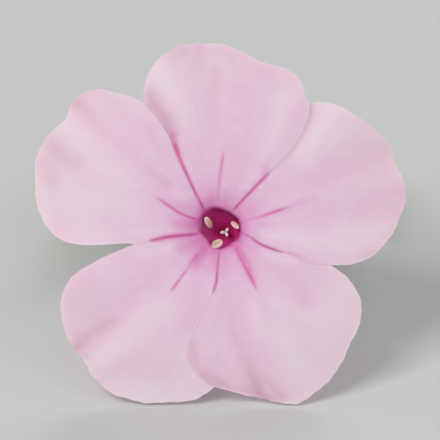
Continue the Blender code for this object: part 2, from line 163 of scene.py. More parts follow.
# Each lobe, anticlockwise from the top, in the same millimetres: the arc it grows from in degrees, the
# points that it reaches under its first neighbour while they are grown together, its rim from the first
# notch round to a corner under its second neighbour, its side under that one from the eye outwards, and
# its folds as (place across the lobe, width, height at the rim)
LOBES = {
    "top": (
        (43, 138),
        (),
        (
            (6.72, 9.46), (6.5, 9.85), (6.25, 10.6), (5.95, 11.3), (5.2, 11.9), (4.1, 12.25), (2.9, 12.6),
            (2.0, 13.15), (1.0, 13.55), (0.0, 13.88), (-2.6, 13.82), (-3.6, 13.4), (-4.6, 12.7),
            (-5.35, 11.6), (-5.7, 10.3), (-5.78, 9.4), (-6.1, 8.6),
        ),
        ((-2.75, 3.3), (-3.75, 5.0), (-4.7, 6.6), (-5.5, 7.8)),
        ((0.10, 0.08, 0.15), (0.58, 0.08, -0.30), (0.81, 0.11, 0.25)),
    ),
    "left": (
        (120, 202),
        ((-2.05, 3.75), (-2.52, 4.62)),
        (
            (-6.9, 9.95), (-8.1, 10.25), (-9.1, 10.45), (-10.1, 10.22), (-10.72, 9.92), (-11.3, 9.15),
            (-11.55, 8.3), (-12.6, 7.3), (-13.3, 6.4), (-13.82, 5.1), (-13.9, 3.4), (-13.72, 1.7),
            (-13.15, 0.3), (-12.0, -0.85), (-10.5, -1.25), (-9.0, -1.28), (-7.2, -1.17), (-6.4, -1.22),
            (-5.8, -1.6),
        ),
        ((-3.0, -1.05), (-4.4, -1.35)),
        ((0.09, 0.07, 0.20), (0.24, 0.06, -0.35), (0.45, 0.10, 0.25), (0.69, 0.08, -0.20)),
    ),
    "lower_left": (
        (186, 280),
        ((-3.6, -0.45), (-4.6, -0.70)),
        (
            (-7.2, -1.55), (-9.0, -2.35), (-10.95, -3.55), (-11.7, -4.7), (-11.95, -6.0), (-11.7, -7.6),
            (-11.1, -8.9), (-9.98, -10.3), (-9.82, -10.9), (-9.25, -11.5), (-8.2, -12.38), (-7.0, -12.85),
            (-5.2, -13.18), (-2.1, -12.98), (-1.1, -12.5), (-0.4, -11.98), (0.2, -11.3),
        ),
        ((0.45, -3.8), (0.3, -5.5), (-0.2, -7.3), (-0.8, -8.9), (-0.65, -10.2)),
        ((0.29, 0.08, 0.20), (0.455, 0.055, -0.32), (0.64, 0.10, 0.25), (0.86, 0.07, -0.15)),
    ),
    "lower_right": (
        (259, 355),
        (),
        (
            (1.6, -12.5), (2.9, -12.78), (4.1, -13.05), (5.5, -13.28), (6.1, -13.12), (7.0, -12.55),
            (8.1, -11.65), (9.1, -10.35), (9.72, -9.0), (10.35, -7.75), (10.7, -6.4), (10.5, -5.1),
            (9.65, -3.75), (8.4, -2.8), (7.7, -2.0),
        ),
        ((3.3, -0.6), (4.9, -1.05), (6.4, -1.5)),
        ((0.05, 0.05, 0.10), (0.14, 0.06, -0.32), (0.36, 0.12, 0.22), (0.76, 0.11, -0.20)),
    ),
    "right": (
        (-26, 60),
        ((2.95, -1.46), (3.85, -1.80)),
        (
            (9.5, -2.78), (10.5, -2.58), (11.5, -2.1), (12.4, -1.25), (13.1, -0.3), (13.55, 0.7),
            (13.85, 1.5), (14.0, 2.05), (13.98, 3.05), (13.6, 4.15), (13.22, 4.95), (12.85, 6.15),
            (11.7, 7.4), (10.4, 8.38), (9.05, 9.15), (7.95, 9.48), (6.7, 9.35), (5.9, 8.8),
        ),
        ((1.9, 3.2), (3.0, 4.8), (4.1, 6.2), (5.1, 7.6)),
        ((0.18, 0.09, 0.20), (0.38, 0.07, -0.20), (0.61, 0.09, -0.22), (0.79, 0.09, 0.25)),
    ),
}

# Where each lobe's first side meets its neighbour: how far it stands up there and how far the other
# one dips, the points up to which they are grown together, and its free edge as far as the notch
SEAMS = {
    "top": (
        (0.02, 0.03),
        ((1.15, 1.47), (2.30, 2.67), (2.98, 3.37)),
        ((3.83, 4.10), (4.60, 4.95), (5.45, 5.95), (6.15, 7.05), (6.70, 8.30), (6.84, 9.05)),
    ),
    "left": (
        (0.06, 0.05),
        ((-1.17, 1.44), (-2.30, 3.67), (-2.72, 4.50)),
        ((-3.12, 5.30), (-3.50, 6.05), (-3.78, 6.80), (-4.40, 7.85), (-5.10, 8.75), (-5.76, 9.45)),
    ),
    "lower_left": (
        (0.0, 0.02),
        ((-1.80, -0.47), (-3.64, -0.65), (-4.60, -0.84)),
        ((-5.56, -1.04), (-6.20, -1.17)),
    ),
    "lower_right": (
        (0.02, 0.02),
        ((-0.02, -1.85), (-0.19, -3.24), (-0.23, -4.10)),
        (
            (-0.53, -5.07), (-1.30, -6.80), (-1.95, -8.10), (-2.28, -9.20), (-2.05, -10.40),
            (-1.45, -11.20), (-0.35, -11.95),
        ),
    ),
    "right": (
        (0.0, 0.02),
        ((1.82, -0.43), (2.30, -0.68), (3.02, -1.18), (3.88, -1.54)),
        ((4.89, -1.85), (6.30, -2.50), (7.30, -2.70), (8.45, -2.78)),
    ),
}

# The face's fine lines: points from the eye outwards, half-width, strength, and the share of that
# strength near the eye
VEINS = (
    (((-1.20, 1.45), (-2.28, 3.67), (-2.85, 4.95), (-3.22, 5.90), (-3.50, 6.75)), 0.16, 1.0, 1.0),
    (((-0.14, 2.00), (0.0, 3.58), (0.19, 4.92), (0.34, 5.9)), 0.12, 0.75, 0.3),
    (((1.00, 1.30), (2.28, 2.65), (2.96, 3.36), (4.10, 4.45)), 0.15, 1.0, 1.0),
    (((-1.55, 0.60), (-2.69, 0.98), (-3.65, 1.56), (-5.10, 2.56)), 0.12, 0.95, 1.0),
    (((1.75, 0.50), (3.07, 0.84), (4.10, 1.19), (5.50, 1.66)), 0.12, 0.9, 0.2),
    (((1.55, -0.34), (2.30, -0.68), (3.02, -1.18), (3.88, -1.54), (5.60, -2.08)), 0.12, 1.1, 0.3),
    (((1.10, -1.30), (1.83, -2.76), (2.40, -3.82), (3.05, -5.10)), 0.12, 0.9, 0.55),
    (((-0.02, -1.55), (-0.15, -3.24), (-0.25, -4.15), (-0.62, -5.25)), 0.12, 1.0, 0.55),
    (((-1.60, -0.44), (-3.64, -0.65), (-4.60, -0.84), (-5.50, -1.02)), 0.17, 1.0, 1.0),
    (((-1.70, -2.05), (-3.16, -4.10), (-3.75, -4.85)), 0.12, 0.8, 0.8),
)
# All the other marks have points, half-width, and strength at the first point and at the last
FLUSHES_AND_HIGHLIGHT = (
    (((1.35, -1.45), (2.0, -2.7), (2.5, -3.8)), 0.38, 0.85, 0.55),
    (((-1.7, -0.5), (-4.2, -0.7)), 0.3, 0.7, 0.35),
    (((4.2, 1.25), (5.6, 1.7)), 0.25, 0.3, 0.3),
    (((1.7, -1.2), (2.7, -1.9)), 0.35, 0.35, 0.1),
    (((-1.5, 0.25), (-3.1, 0.25)), 0.55, 0.8, 0.4),
    (((-1.3, -1.0), (-2.7, -1.4)), 0.55, 0.75, 0.35),
    (((-1.1, -1.4), (-1.8, -2.6)), 0.5, 0.9, 0.65),
    (((-1.1, 1.5), (-0.6, 2.3)), 0.5, 0.5, 0.35),
    (((0.2, 1.6), (0.6, 2.2)), 0.4, 0.3, 0.2),
    (((1.4, 1.1), (2.3, 1.5)), 0.5, 0.3, 0.15),
    (((-0.3, -1.7), (-0.2, -3.1)), 0.6, 0.6, 0.2),
    # A small painted highlight: a lighter pink spot on the eye's upper wall
    (((0.36, 1.31), (0.47, 1.24)), 0.06, 0.8, 0.8),
)
SHADES = (
    (((-0.6, 1.38), (0.6, 1.22), (1.35, 0.62)), 0.15, 0.45, 0.75),
    (((-0.42, 0.8), (-0.38, 0.1)), 0.12, 0.5, 0.5),
    (((0.85, 0.35), (0.95, -0.5)), 0.14, 0.5, 0.5),
)
FACE_MARKS = {"flush_and_highlight": FLUSHES_AND_HIGHLIGHT, "shade": SHADES}
# Each lobe's own marks, by the lobe and the kind of mark. Flushes and blushes are the lobe's own colour.
# The dusky pink marks are painted shadow where one lobe lies over another, and painted shade on folds and
# sides turned from the light. The paler marks are painted light where the lobe turns to the lamp, over a
# paler tone of its own
LOBE_MARKS = {
    ("top", "flush_and_highlight"): (
        (((-3.2, 5.7), (-3.55, 7.0)), 0.28, 0.8, 0.7),
        (((3.4, 4.0), (3.7, 5.1)), 0.3, 0.4, 0.15),
    ),
    ("top", "painted_shade"): (
        (((-3.7, 7.1), (-4.2, 8.2), (-4.8, 9.1), (-5.3, 9.9)), 0.62, 1.0, 0.75),
        (((-0.3, 11.8), (-0.6, 9.3), (-0.3, 7.5)), 0.6, 0.4, 0.15),
        (((-1.6, 13.6), (-1.3, 11.6)), 0.8, 0.5, 0.2),
        (((-3.3, 13.3), (-0.6, 13.4), (1.0, 13.0)), 0.7, 0.35, 0.25),
    ),
    ("top", "blush"): (
        (((0.9, 4.0), (1.4, 6.4)), 0.9, 0.75, 0.5),
        (((1.4, 6.4), (1.6, 12.5)), 1.7, 0.4, 0.3),
        (((3.2, 11.9), (4.6, 11.2)), 1.0, 0.5, 0.3),
        (((-1.4, 5.2), (-1.8, 7.6)), 1.1, 0.3, 0.2),
        (((5.9, 8.6), (5.3, 6.8)), 0.6, 0.3, 0.3),
    ),
    ("top", "pale_and_lit"): (
        (((-4.5, 11.8), (-3.2, 9.6), (-2.3, 7.5)), 0.85, 0.8, 0.6),
        (((4.7, 9.8), (4.3, 7.8), (3.4, 6.0)), 0.7, 0.7, 0.4),
        (((2.3, 3.9), (1.6, 3.0)), 0.35, 0.45, 0.3),
    ),
    ("left", "flush_and_highlight"): (
        (((-3.9, 3.2), (-5.2, 4.4)), 0.4, 0.25, 0.1),
        (((-2.6, 1.4), (-4.4, 2.4)), 0.5, 0.25, 0.1),
    ),
    ("left", "painted_shade"): (
        (((-12.9, 6.5), (-11.9, 5.7), (-11.0, 5.0)), 0.85, 0.6, 0.35),
        (((-11.3, 9.2), (-10.3, 10.1), (-9.0, 10.3)), 0.35, 0.5, 0.3),
        (((-13.2, 4.9), (-12.6, 3.4)), 0.7, 0.4, 0.3),
        (((-5.4, 7.6), (-4.6, 6.0), (-4.2, 5.0)), 0.32, 0.3, 0.2),
        (((-11.1, 9.6), (-9.6, 8.5)), 0.6, 0.55, 0.25),
    ),
    ("left", "blush"): (
        (((-10.8, 9.4), (-8.8, 7.5), (-6.6, 5.8), (-5.0, 4.3)), 0.6, 0.8, 0.5),
        (((-5.2, 4.4), (-3.7, 3.1)), 0.5, 0.6, 0.7),
        (((-8.4, 9.6), (-6.6, 7.6)), 1.0, 0.35, 0.2),
    ),
    ("left", "pale_and_lit"): (
        (((-11.6, 7.6), (-10.6, 6.8)), 0.6, 0.8, 0.5),
        (((-10.4, 6.2), (-7.4, 3.4)), 1.3, 0.6, 0.5),
        (((-13.4, 4.8), (-13.2, 1.0)), 0.9, 0.2, 0.6),
        (((-11.2, 2.6), (-9.6, -0.4)), 1.6, 0.55, 0.5),
        (((-10.0, 2.4), (-6.6, 1.2)), 1.2, 0.6, 0.6),
        (((-3.7, 3.0), (-2.9, 2.3)), 0.35, 0.4, 0.4),
        (((-6.6, -0.3), (-3.6, -0.1)), 0.4, 0.5, 0.35),
    ),
    ("lower_left", "painted_shade"): (
        (((-11.0, -9.2), (-9.9, -8.2)), 0.6, 1.0, 0.6),
        (((-11.2, -9.3), (-10.1, -9.7)), 0.4, 0.9, 0.5),
        (((-9.9, -8.2), (-8.0, -6.8)), 0.55, 0.7, 0.4),
        (((-11.3, -5.6), (-9.5, -4.8)), 1.0, 0.2, 0.15),
        (((-9.4, -11.2), (-6.6, -9.8)), 0.8, 0.2, 0.15),
    ),
    ("lower_left", "blush"): (
        (((-9.6, -8.4), (-6.6, -5.6), (-4.6, -3.4)), 0.9, 0.5, 0.3),
        (((-10.6, -4.3), (-9.8, -3.3)), 0.7, 0.5, 0.4),
        (((-2.7, -7.4), (-1.8, -5.8)), 0.7, 0.3, 0.3),
    ),
    ("lower_left", "pale_and_lit"): (
        (((-8.8, -9.9), (-6.0, -7.4), (-4.2, -6.0)), 1.1, 0.7, 0.6),
        (((-7.0, -12.4), (-2.0, -12.3)), 1.0, 0.7, 0.7),
        (((-1.8, -11.2), (-3.0, -9.0)), 1.0, 0.6, 0.4),
        (((-5.9, -1.8), (-3.9, -1.6)), 0.5, 0.4, 0.5),
    ),
    ("lower_right", "painted_shade"): (
        (((-2.0, -8.8), (-1.85, -10.1), (-1.3, -10.9), (-0.4, -11.5), (0.5, -11.9)), 0.4, 0.45, 0.85),
        (((0.85, -6.6), (1.25, -8.4), (1.9, -10.0)), 0.42, 0.3, 0.35),
        (((1.9, -10.0), (2.6, -11.5), (3.2, -12.7)), 0.6, 0.45, 1.0),
        (((3.2, -11.2), (4.7, -12.8)), 0.5, 0.25, 0.6),
        (((0.6, -11.9), (2.4, -12.5), (4.2, -12.9)), 0.35, 0.5, 0.7),
    ),
    ("lower_right", "blush"): (
        (((0.6, -4.6), (1.4, -7.4)), 0.7, 0.4, 0.5),
        (((1.6, -8.0), (3.2, -11.4)), 0.9, 0.5, 0.5),
        (((-1.6, -10.2), (0.6, -11.4)), 0.8, 0.5, 0.5),
        (((2.8, -2.5), (5.2, -3.7), (6.4, -5.3)), 0.65, 0.6, 0.9),
    ),
    ("lower_right", "pale_and_lit"): (
        (((9.4, -4.8), (7.8, -8.2)), 1.6, 0.6, 0.6),
        (((6.4, -11.2), (4.6, -7.6)), 1.3, 0.6, 0.7),
        (((4.4, -5.6), (7.4, -7.2)), 0.9, 0.5, 0.5),
        (((-0.9, -9.0), (-0.5, -7.4)), 0.8, 0.45, 0.3),
        (((3.0, -7.8), (2.6, -6.0)), 0.6, 0.6, 0.5),
        (((5.6, -2.5), (3.4, -2.1)), 0.4, 0.5, 0.5),
    ),
    ("right", "flush_and_highlight"): (
        (((5.2, -1.95), (6.5, -2.25)), 0.25, 0.4, 0.15),
        (((5.6, 1.75), (7.2, 2.2)), 0.3, 0.25, 0.1),
    ),
    ("right", "painted_shade"): (
        (((12.6, 6.2), (9.8, 5.0), (7.6, 3.7)), 0.9, 0.3, 0.2),
        (((11.7, -1.8), (10.4, -2.3)), 0.35, 0.4, 0.2),
        (((4.3, 4.5), (5.55, 5.95), (6.25, 7.05), (6.8, 8.3), (6.95, 9.2)), 0.2, 0.45, 0.6),
    ),
    ("right", "blush"): (
        (((13.6, 2.8), (12.4, 2.2)), 0.7, 0.8, 0.5),
        (((13.9, 2.4), (13.3, 0.3), (12.3, -1.3)), 0.6, 0.9, 0.5),
        (((12.5, 1.9), (7.5, 1.8)), 1.4, 0.45, 0.4),
        (((12.6, 5.2), (7.0, 3.2)), 1.2, 0.35, 0.4),
        (((5.4, 3.4), (3.6, 2.2)), 0.8, 0.3, 0.3),
    ),
    ("right", "pale_and_lit"): (
        (((8.4, 9.0), (7.4, 7.2), (6.4, 5.6)), 1.0, 0.8, 0.8),
        (((9.8, 7.7), (7.2, 6.0)), 0.8, 0.5, 0.5),
        (((12.6, -0.3), (9.0, -0.3)), 0.8, 0.6, 0.6),
        (((9.6, -1.5), (6.0, -0.9)), 0.8, 0.6, 0.6),
        (((5.4, -0.6), (3.4, -0.5)), 0.5, 0.7, 0.6),
    ),
}

# The tube, in millimetres: radius and height, down the outside and up the inside. Its walls are told
# apart by the radius between them at each depth, and its inside has the eye's colour at one reach
TUBE_SIDES = 72
TUBE_LENGTH = 19.0
TUBE_EYE = 1.05
TUBE_PROFILE = (
    (2.64, 0.32), (2.5, 0.04), (2.28, -0.26), (2.12, -0.7), (2.0, -1.2), (1.86, -2.0), (1.77, -3.0),
    (1.72, -4.4), (1.62, -5.8), (1.48, -7.2), (1.32, -8.6), (1.23, -10.2), (1.2, -12.5), (1.17, -16.0),
    (1.15, -TUBE_LENGTH), (0.7, -TUBE_LENGTH), (0.72, -12.0), (0.8, -8.0), (0.95, -6.0), (1.02, -4.4),
    (0.8, -3.3), (0.3, -2.6), (0.2, -2.2), (0.38, -1.85), (0.87, -1.5), (1.30, -1.1), (1.50, -0.7),
    (1.62, -0.34), (1.82, -0.08), (2.15, 0.05),
)
WALL_MIDDLE = ((0.0, 2.1), (1.5, 1.6), (4.0, 1.35), (7.0, 1.15), (9.0, 1.0), (19.0, 0.92))

# The calyx, in millimetres: a cup of five ribbed sepals with narrow teeth
CALYX_GRID = (150, 66)
CALYX_INNER = 1.35
CALYX_LENGTH = 10.0
CALYX_WALL = 0.4
CALYX_SHEET = 0.24
CALYX_GAP = 0.3
CALYX_TEETH = 5
CALYX_SEAM = 0.5
CALYX_SEAM_WIDTH = 0.16
CALYX_HAIRS = 520
TOOTH_LENGTH = 4.2
TOOTH_CURVE = 0.8
TOOTH_SPREAD = 0.22
TOOTH_BEND = (0.7, 0.3)
FLOOR_SHARE = 0.12
FLOOR_RISE = 0.6
RIB_HEIGHT = 0.13
RIB_WIDTH = 0.22
RIB_START = 0.25

# The hairs, in millimetres: how unevenly they lean and how their lengths differ, and how far the skin
# that bears them has to face outwards
HAIR_RADII = (0.022, 0.004)
HAIR_LEAN = 0.25
HAIR_LENGTHS = (0.6, 1.2)
HAIR_SUNK = 0.45
HAIR_FACING = 0.35
CALYX_HAIR = 0.3
STEM_HAIR = 0.22

# Each stamen, in millimetres: the middle of its anther, which way it leans, the anther's half sizes,
# the side its pollen shows on, and how deep its foot is
STAMENS = (
    ((-0.84, 0.42, -0.30), (-0.52, 0.98), (0.25, 0.20, 0.60), (0.8, -0.2, 0.4), 1.3),
    ((1.17, 0.22, -0.12), (0.85, -0.74), (0.20, 0.17, 0.48), (0.5, 0.8, 0.3), 1.2),
    ((-0.18, -1.19, 0.24), (1.9, 1.2), (0.31, 0.25, 0.48), (-0.5, 0.4, 0.75), 1.2),
    ((0.14, 0.46, -4.3), (0.05, 0.08), (0.20, 0.17, 0.60), (0.0, 0.0, 1.0), 6.4),
    ((-0.42, -0.34, -5.2), (0.06, 0.05), (0.20, 0.17, 0.60), (0.0, 0.0, 1.0), 7.2),
)
ANTHER_BALL = (40, 26)
GROOVE_DEPTH = 0.34
GROOVE_WIDTH = 0.42
GROOVE_ENDS = 1.4
POLLEN_START = 0.25
POLLEN_FADE = 0.6
FILAMENT_GRID = (16, 40)
FILAMENT_RADII = (0.10, 0.09, 0.07)
FILAMENT_BOW = 0.05
FILAMENT_TIP = 0.6
FOOT_WALL = ((0.9, 1.35), (1.3, 1.15), (4.4, 1.0), (8.0, 0.8))

# The pistil, in millimetres. Each arm of its stigma runs through the given shares of the way to its end,
# with a lift at each
STYLE = (
    (0.0, 0.0, -17.6), (0.05, -0.05, -12.0), (0.25, -0.1, -6.0), (0.49, -0.32, -2.4), (0.49, -0.33, -1.15),
)
STYLE_GRID = (20, 90)
STYLE_RADII = (0.17, 0.14, 0.12, 0.12, 0.12)
STIGMA_ENDS = ((0.13, -0.34, -0.74), (0.62, -0.06, -0.72), (0.58, -0.58, -0.74))
STIGMA_BENDS = ((0.0, -0.15), (0.3, 0.05), (0.7, 0.04), (1.0, 0.0), (1.18, 0.0))
STIGMA_GRID = (24, 36)
STIGMA_RADII = (0.09, 0.09, 0.12, 0.13, 0.03)
OVARY_BALL = (40, 24)
OVARY = (0.48, 0.48, 1.05)
OVARY_HEIGHT = -17.95

# The stem, in millimetres: from the calyx back to the cut, with its radius at each point
STEM_PATH = (
    (0.0, -3.6, 4.05), (0.0, 0.0, 2.5), (0.0, 4.0, 1.35), (0.0, 8.5, 0.95),
    (0.0, 12.0, 0.98), (0.0, 16.0, 0.95), (0.3, 22.0, 0.95), (0.8, 27.8, 0.95),
)
STEM_RADII = (0.62, 0.66, 0.76, 0.95, 1.3, 1.08, 1.08, 1.1)
STEM_GRID = (72, 150)
STEM_RIDGES = 9
STEM_RIDGE_HEIGHT = 0.035
STEM_RIDGE_START = 0.2
STEM_HAIRS = 700
STEM_BARE_BELOW = 0.3
STEM_BARE_BEHIND = 27.0
STALK_GRID = (40, 80)
STALK_ROOT = (0.35, 12.6, 1.2)
STALK_RADII = (0.6, 0.5, 0.45, 0.5)
STALK_BEND = 0.4
STALK_ARCH = 0.6
STALK_END = 1.2
STALK_GAP = 0.5

# Each leaf, in millimetres: its foot, the point that it bends towards, its tip and its width
LEAVES = {
    "leaf_left": ((-1.75, 11.6, 1.5), (-8.6, 9.0, 3.0), (-11.6, -4.4, 7.0), 6.6),
    "leaf_right": ((1.75, 12.0, 1.5), (8.2, 10.0, 3.4), (11.2, -2.6, 6.2), 6.2),
}
LEAF_GRID = (88, 150)
LEAF_SHEET = 0.34
LEAF_FOOT_SHARE = 0.16
LEAF_TIP_SHARE = 0.03
LEAF_SHAPE = (0.9, 1.15)
LEAF_KEEL = 0.22
LEAF_WAVE = 0.22
LEAF_WAVES = 2.5
LEAF_WAVE_SHIFT = 2.0
LEAF_MARGIN = 0.25
LEAF_QUILT = 0.06
LEAF_VEINS = 9.0
LEAF_VEIN_SLANT = 2.4
LEAF_VEIN_CURVE = 0.8
LEAF_VEIN_SHIFT = 0.25
LEAF_VEIN_WIDTH = 0.14
LEAF_VEIN_DEPTH = 0.05
LEAF_VEIN_START = 0.12
MIDRIB_WIDTH = 0.17
MIDRIB_DEPTH = 0.12

# Each bud, in millimetres: its foot, its tip, the length of its calyx and the radius of its furled head
BUDS = {
    "left": ((-2.6, 4.0, 5.0), (-5.2, -8.0, 9.6), 5.6, 1.45),
    "right": ((2.2, 6.2, 5.0), (4.4, -2.2, 8.6), 4.2, 1.15),
}
BUD_GRID = (120, 90)
BUD_NECK = 0.75
BUD_START = 0.7
BUD_FOOT = 14.0
BUD_HEAD_START = 0.75
BUD_HEAD_WIDTH = 0.32
BUD_TAPER_START = 0.66
BUD_TAPER = (1.7, 0.75)
BUD_LOBES = 5.0
BUD_TWIST = 0.9
BUD_STEP = 0.11
BUD_GROOVE = 0.05
BUD_GROOVE_WIDTH = 0.06
BUD_EDGE = 0.12
BUD_CALYX_GRID = (110, 66)
BUD_CALYX_GAP = 0.15
BUD_TOOTH_SHARE = 0.4
BUD_HAIRS = 260

# Colours as shares of red, green and blue light: the face by its distance from the flower's axis, up to
# the span in millimetres, the tube by its depth, the bud by its height and the cut stem from its middle
FACE_SPAN = 15.0
# The eye's dark magenta is the flower's own. The darker stops at the low end, deep in the throat, are painted
# shade
FACE_COLOURS = (
    (0.0, (0.48, 0.015, 0.13)), (0.055, (0.54, 0.028, 0.21)), (0.081, (0.50, 0.03, 0.20)),
    (0.089, (0.56, 0.08, 0.31)), (0.099, (0.64, 0.17, 0.43)), (0.116, (0.70, 0.28, 0.54)),
    (0.155, (0.74, 0.41, 0.62)), (0.3, (0.78, 0.54, 0.69)), (1.0, (0.80, 0.615, 0.70)),
)
TUBE_COLOURS = (
    (0.0, (0.88, 0.62, 0.77)), (0.04, (0.80, 0.48, 0.65)), (0.12, (0.64, 0.28, 0.46)),
    (0.3, (0.56, 0.17, 0.37)), (0.6, (0.60, 0.25, 0.40)), (1.0, (0.70, 0.55, 0.50)),
)
BUD_COLOURS = (
    (0.0, (0.66, 0.50, 0.42)), (0.4, (0.55, 0.16, 0.34)), (0.65, (0.66, 0.25, 0.46)),
    (1.0, (0.74, 0.40, 0.58)),
)
CUT_COLOURS = (
    (0.0, (0.72, 0.76, 0.56)), (0.62, (0.58, 0.66, 0.38)), (0.9, (0.24, 0.36, 0.12)),
    (1.0, (0.20, 0.30, 0.09)),
)


def deselect_all():
    """Clear the selection, because an operator acts on all that is selected."""
    bpy.ops.object.select_all(action="DESELECT")


def choose(*pieces):
    """Select only the given pieces, with the first one active."""
    deselect_all()
    for piece in pieces:
        piece.select_set(True)
    bpy.context.view_layer.objects.active = pieces[0]


def rename(piece, name):
    """Give a piece and its mesh one name."""
    piece.name = name
    piece.data.name = name


def add_object(name, data):
    """Put a new object with its data into the scene."""
    made = bpy.data.objects.new(name, data)
    bpy.context.scene.collection.objects.link(made)
    return made


def add_ball(segments, rings, skin):
    """A ball of radius 1 with its material."""
    deselect_all()
    bpy.ops.mesh.primitive_uv_sphere_add(segments=segments, ring_count=rings, radius=1.0)
    ball = bpy.context.active_object
    ball.data.materials.append(skin)
    return ball


def points_of(piece):
    """Read a mesh's points as rows of x, y and z."""
    flat = np.empty(len(piece.data.vertices) * 3)
    piece.data.vertices.foreach_get("co", flat)
    return flat.reshape(-1, 3)


def set_points(piece, points):
    """Write a mesh's points back."""
    piece.data.vertices.foreach_set("co", np.ascontiguousarray(points, dtype=float).ravel())
    piece.data.update()


def moved(points, place):
    """Turn, scale and shift rows of points by a matrix."""
    matrix = np.array(place)
    return points @ matrix[:3, :3].T + matrix[:3, 3]


def upright_to(way):
    """The matrix that leans the upright axis over to a way."""
    return Vector(way).to_track_quat("Z", "Y").to_matrix().to_4x4()


def paint(piece, masks):
    """Store numbers by name for each point of a mesh, for its material to read."""
    for name, values in masks.items():
        layer = piece.data.attributes.new(name, "FLOAT", "POINT")
        layer.data.foreach_set("value", np.ascontiguousarray(values, dtype=float))


def paint_run(piece, name, start, end):
    """Paint 1 on a run of a mesh's points, and 0 on all the others."""
    values = np.zeros(len(piece.data.vertices))
    values[start:end] = 1.0
    paint(piece, {name: values})


def mend(piece):
    """Merge a mesh's doubled points, and turn its faces outwards."""
    choose(piece)
    bpy.ops.object.mode_set(mode="EDIT")
    bpy.ops.mesh.select_all(action="SELECT")
    bpy.ops.mesh.remove_doubles(threshold=MERGE)
    bpy.ops.mesh.normals_make_consistent(inside=False)
    bpy.ops.object.mode_set(mode="OBJECT")


def modify(piece, kind, **settings):
    """Add a modifier with its settings, and apply it."""
    modifier = piece.modifiers.new(kind.lower(), kind)
    for key, value in settings.items():
        setattr(modifier, key, value)
    choose(piece)
    bpy.ops.object.modifier_apply(modifier=modifier.name)


def thicken(piece, thickness, side=0.0, **settings):
    """Give a sheet its wall: to both of its sides at 0, or all before it at 1."""
    modify(piece, "SOLIDIFY", thickness=thickness * MM, offset=side, **settings)


def join(name, pieces):
    """Join pieces into the first one."""
    choose(*pieces)
    bpy.ops.object.join()
    rename(pieces[0], name)
    return pieces[0]


def finish_piece(piece, node, skin=None, sharp=None):
    """Give a finished piece its material and the angle of its sharp edges, and its solid's place."""
    if skin:
        piece.data.materials.append(skin)
    if sharp:
        choose(piece)
        bpy.ops.object.shade_smooth_by_angle(angle=math.radians(sharp))
    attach(piece, "root")
    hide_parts(node)


def clamp(value):
    """Hold a value between 0 and 1."""
    return np.clip(value, 0.0, 1.0)


def ease(value):
    """Ease from 0 to 1."""
    value = clamp(value)
    return value * value * (3.0 - 2.0 * value)


def hump(distance, width):
    """A soft hump: 1 in its middle, and fading to its sides."""
    return np.exp(-((distance / width) ** 2))


def lookup(table, value):
    """Read a table of pairs at a value, also between its rows."""
    return np.interp(value, *np.transpose(table))


def ring(turn, radius, height):
    """Points round an upright axis."""
    return np.column_stack([radius * np.cos(turn), radius * np.sin(turn), height])


def turn_of(flat):
    """Direction of each point from the middle, in radians."""
    return np.arctan2(flat[:, 1], flat[:, 0])


def smooth_curve(points, steps=CURVE_STEPS):
    """Run a smooth curve through a few points, in a number of steps from each to the next."""
    points = np.array(points, dtype=float)
    ends = np.vstack([2 * points[0] - points[1], points, 2 * points[-1] - points[-2]])
    x = (np.arange(steps) / steps)[:, None]
    curve = []
    for a, b, c, d in zip(ends, ends[1:], ends[2:], ends[3:]):
        square = 2 * a - 5 * b + 4 * c - d
        cube = 3 * b - a - 3 * c + d
        curve.append(0.5 * (2 * b + (c - a) * x + square * x**2 + cube * x**3))
    curve.append(points[-1:])
    return np.vstack(curve)


def travelled_along(curve):
    """How far along a curve each of its points is."""
    lengths = np.linalg.norm(np.diff(curve, axis=0), axis=1)
    return np.concatenate([[0.0], np.cumsum(lengths)])


def read_rows(wanted, travelled, rows):
    """Read rows of numbers at places between those that they belong to."""
    return np.stack([np.interp(wanted, travelled, column) for column in rows.T], axis=-1)


def along_curve(points, share):
    """Find the places at the given shares of a smooth curve's length."""
    curve = smooth_curve(points)
    travelled = travelled_along(curve)
    return read_rows(np.asarray(share) * travelled[-1], travelled, curve)


def shaped_grid(name, grid, place, frame_matrix, closed=False):
    """Add a grid and move its points by a formula of how far across and along it they are."""
    deselect_all()
    bpy.ops.mesh.primitive_grid_add(x_subdivisions=grid[0], y_subdivisions=grid[1], size=2.0)
    piece = bpy.context.active_object
    rename(piece, name)
    flat = points_of(piece)
    points, masks = place((flat[:, 0] + 1.0) / 2.0, (flat[:, 1] + 1.0) / 2.0)
    set_points(piece, moved(points, frame_matrix))
    paint(piece, masks)
    if closed:
        mend(piece)
    return piece


def away_from(points, route):
    """Distance of each point from a route, and how far along the route its nearest place is."""
    line = smooth_curve(route, ROUTE_STEPS)
    away = np.linalg.norm(points[:, None, :] - line[None, :, :], axis=2)
    nearest = away.argmin(axis=1)
    return away[np.arange(len(points)), nearest], nearest / (len(line) - 1)


def stroke_mask(points, strokes):
    """Soft painted strokes, which fade to their sides."""
    total = np.zeros(len(points))
    for route, width, first, last in strokes:
        distance, place = away_from(points, route)
        total = np.maximum(total, (first + (last - first) * place) * hump(distance, width))
    return total


def vein_mask(points):
    """The face's fine lines, which widen a little outwards from the eye and then fade."""
    narrow, wider = VEIN_WIDTHS
    total = np.zeros(len(points))
    for route, width, strength, root in VEINS:
        distance, place = away_from(points, route)
        end = ease((1.0 - place) / VEIN_END)
        width *= (narrow + wider * ease(place / VEIN_WIDE)) * (VEIN_END_WIDTH + (1.0 - VEIN_END_WIDTH) * end)
        strength *= (root + (1.0 - root) * ease(place / VEIN_STRONG)) * (1.0 - VEIN_PALING * place) * end
        total = np.maximum(total, strength * hump(distance, width))
    return total


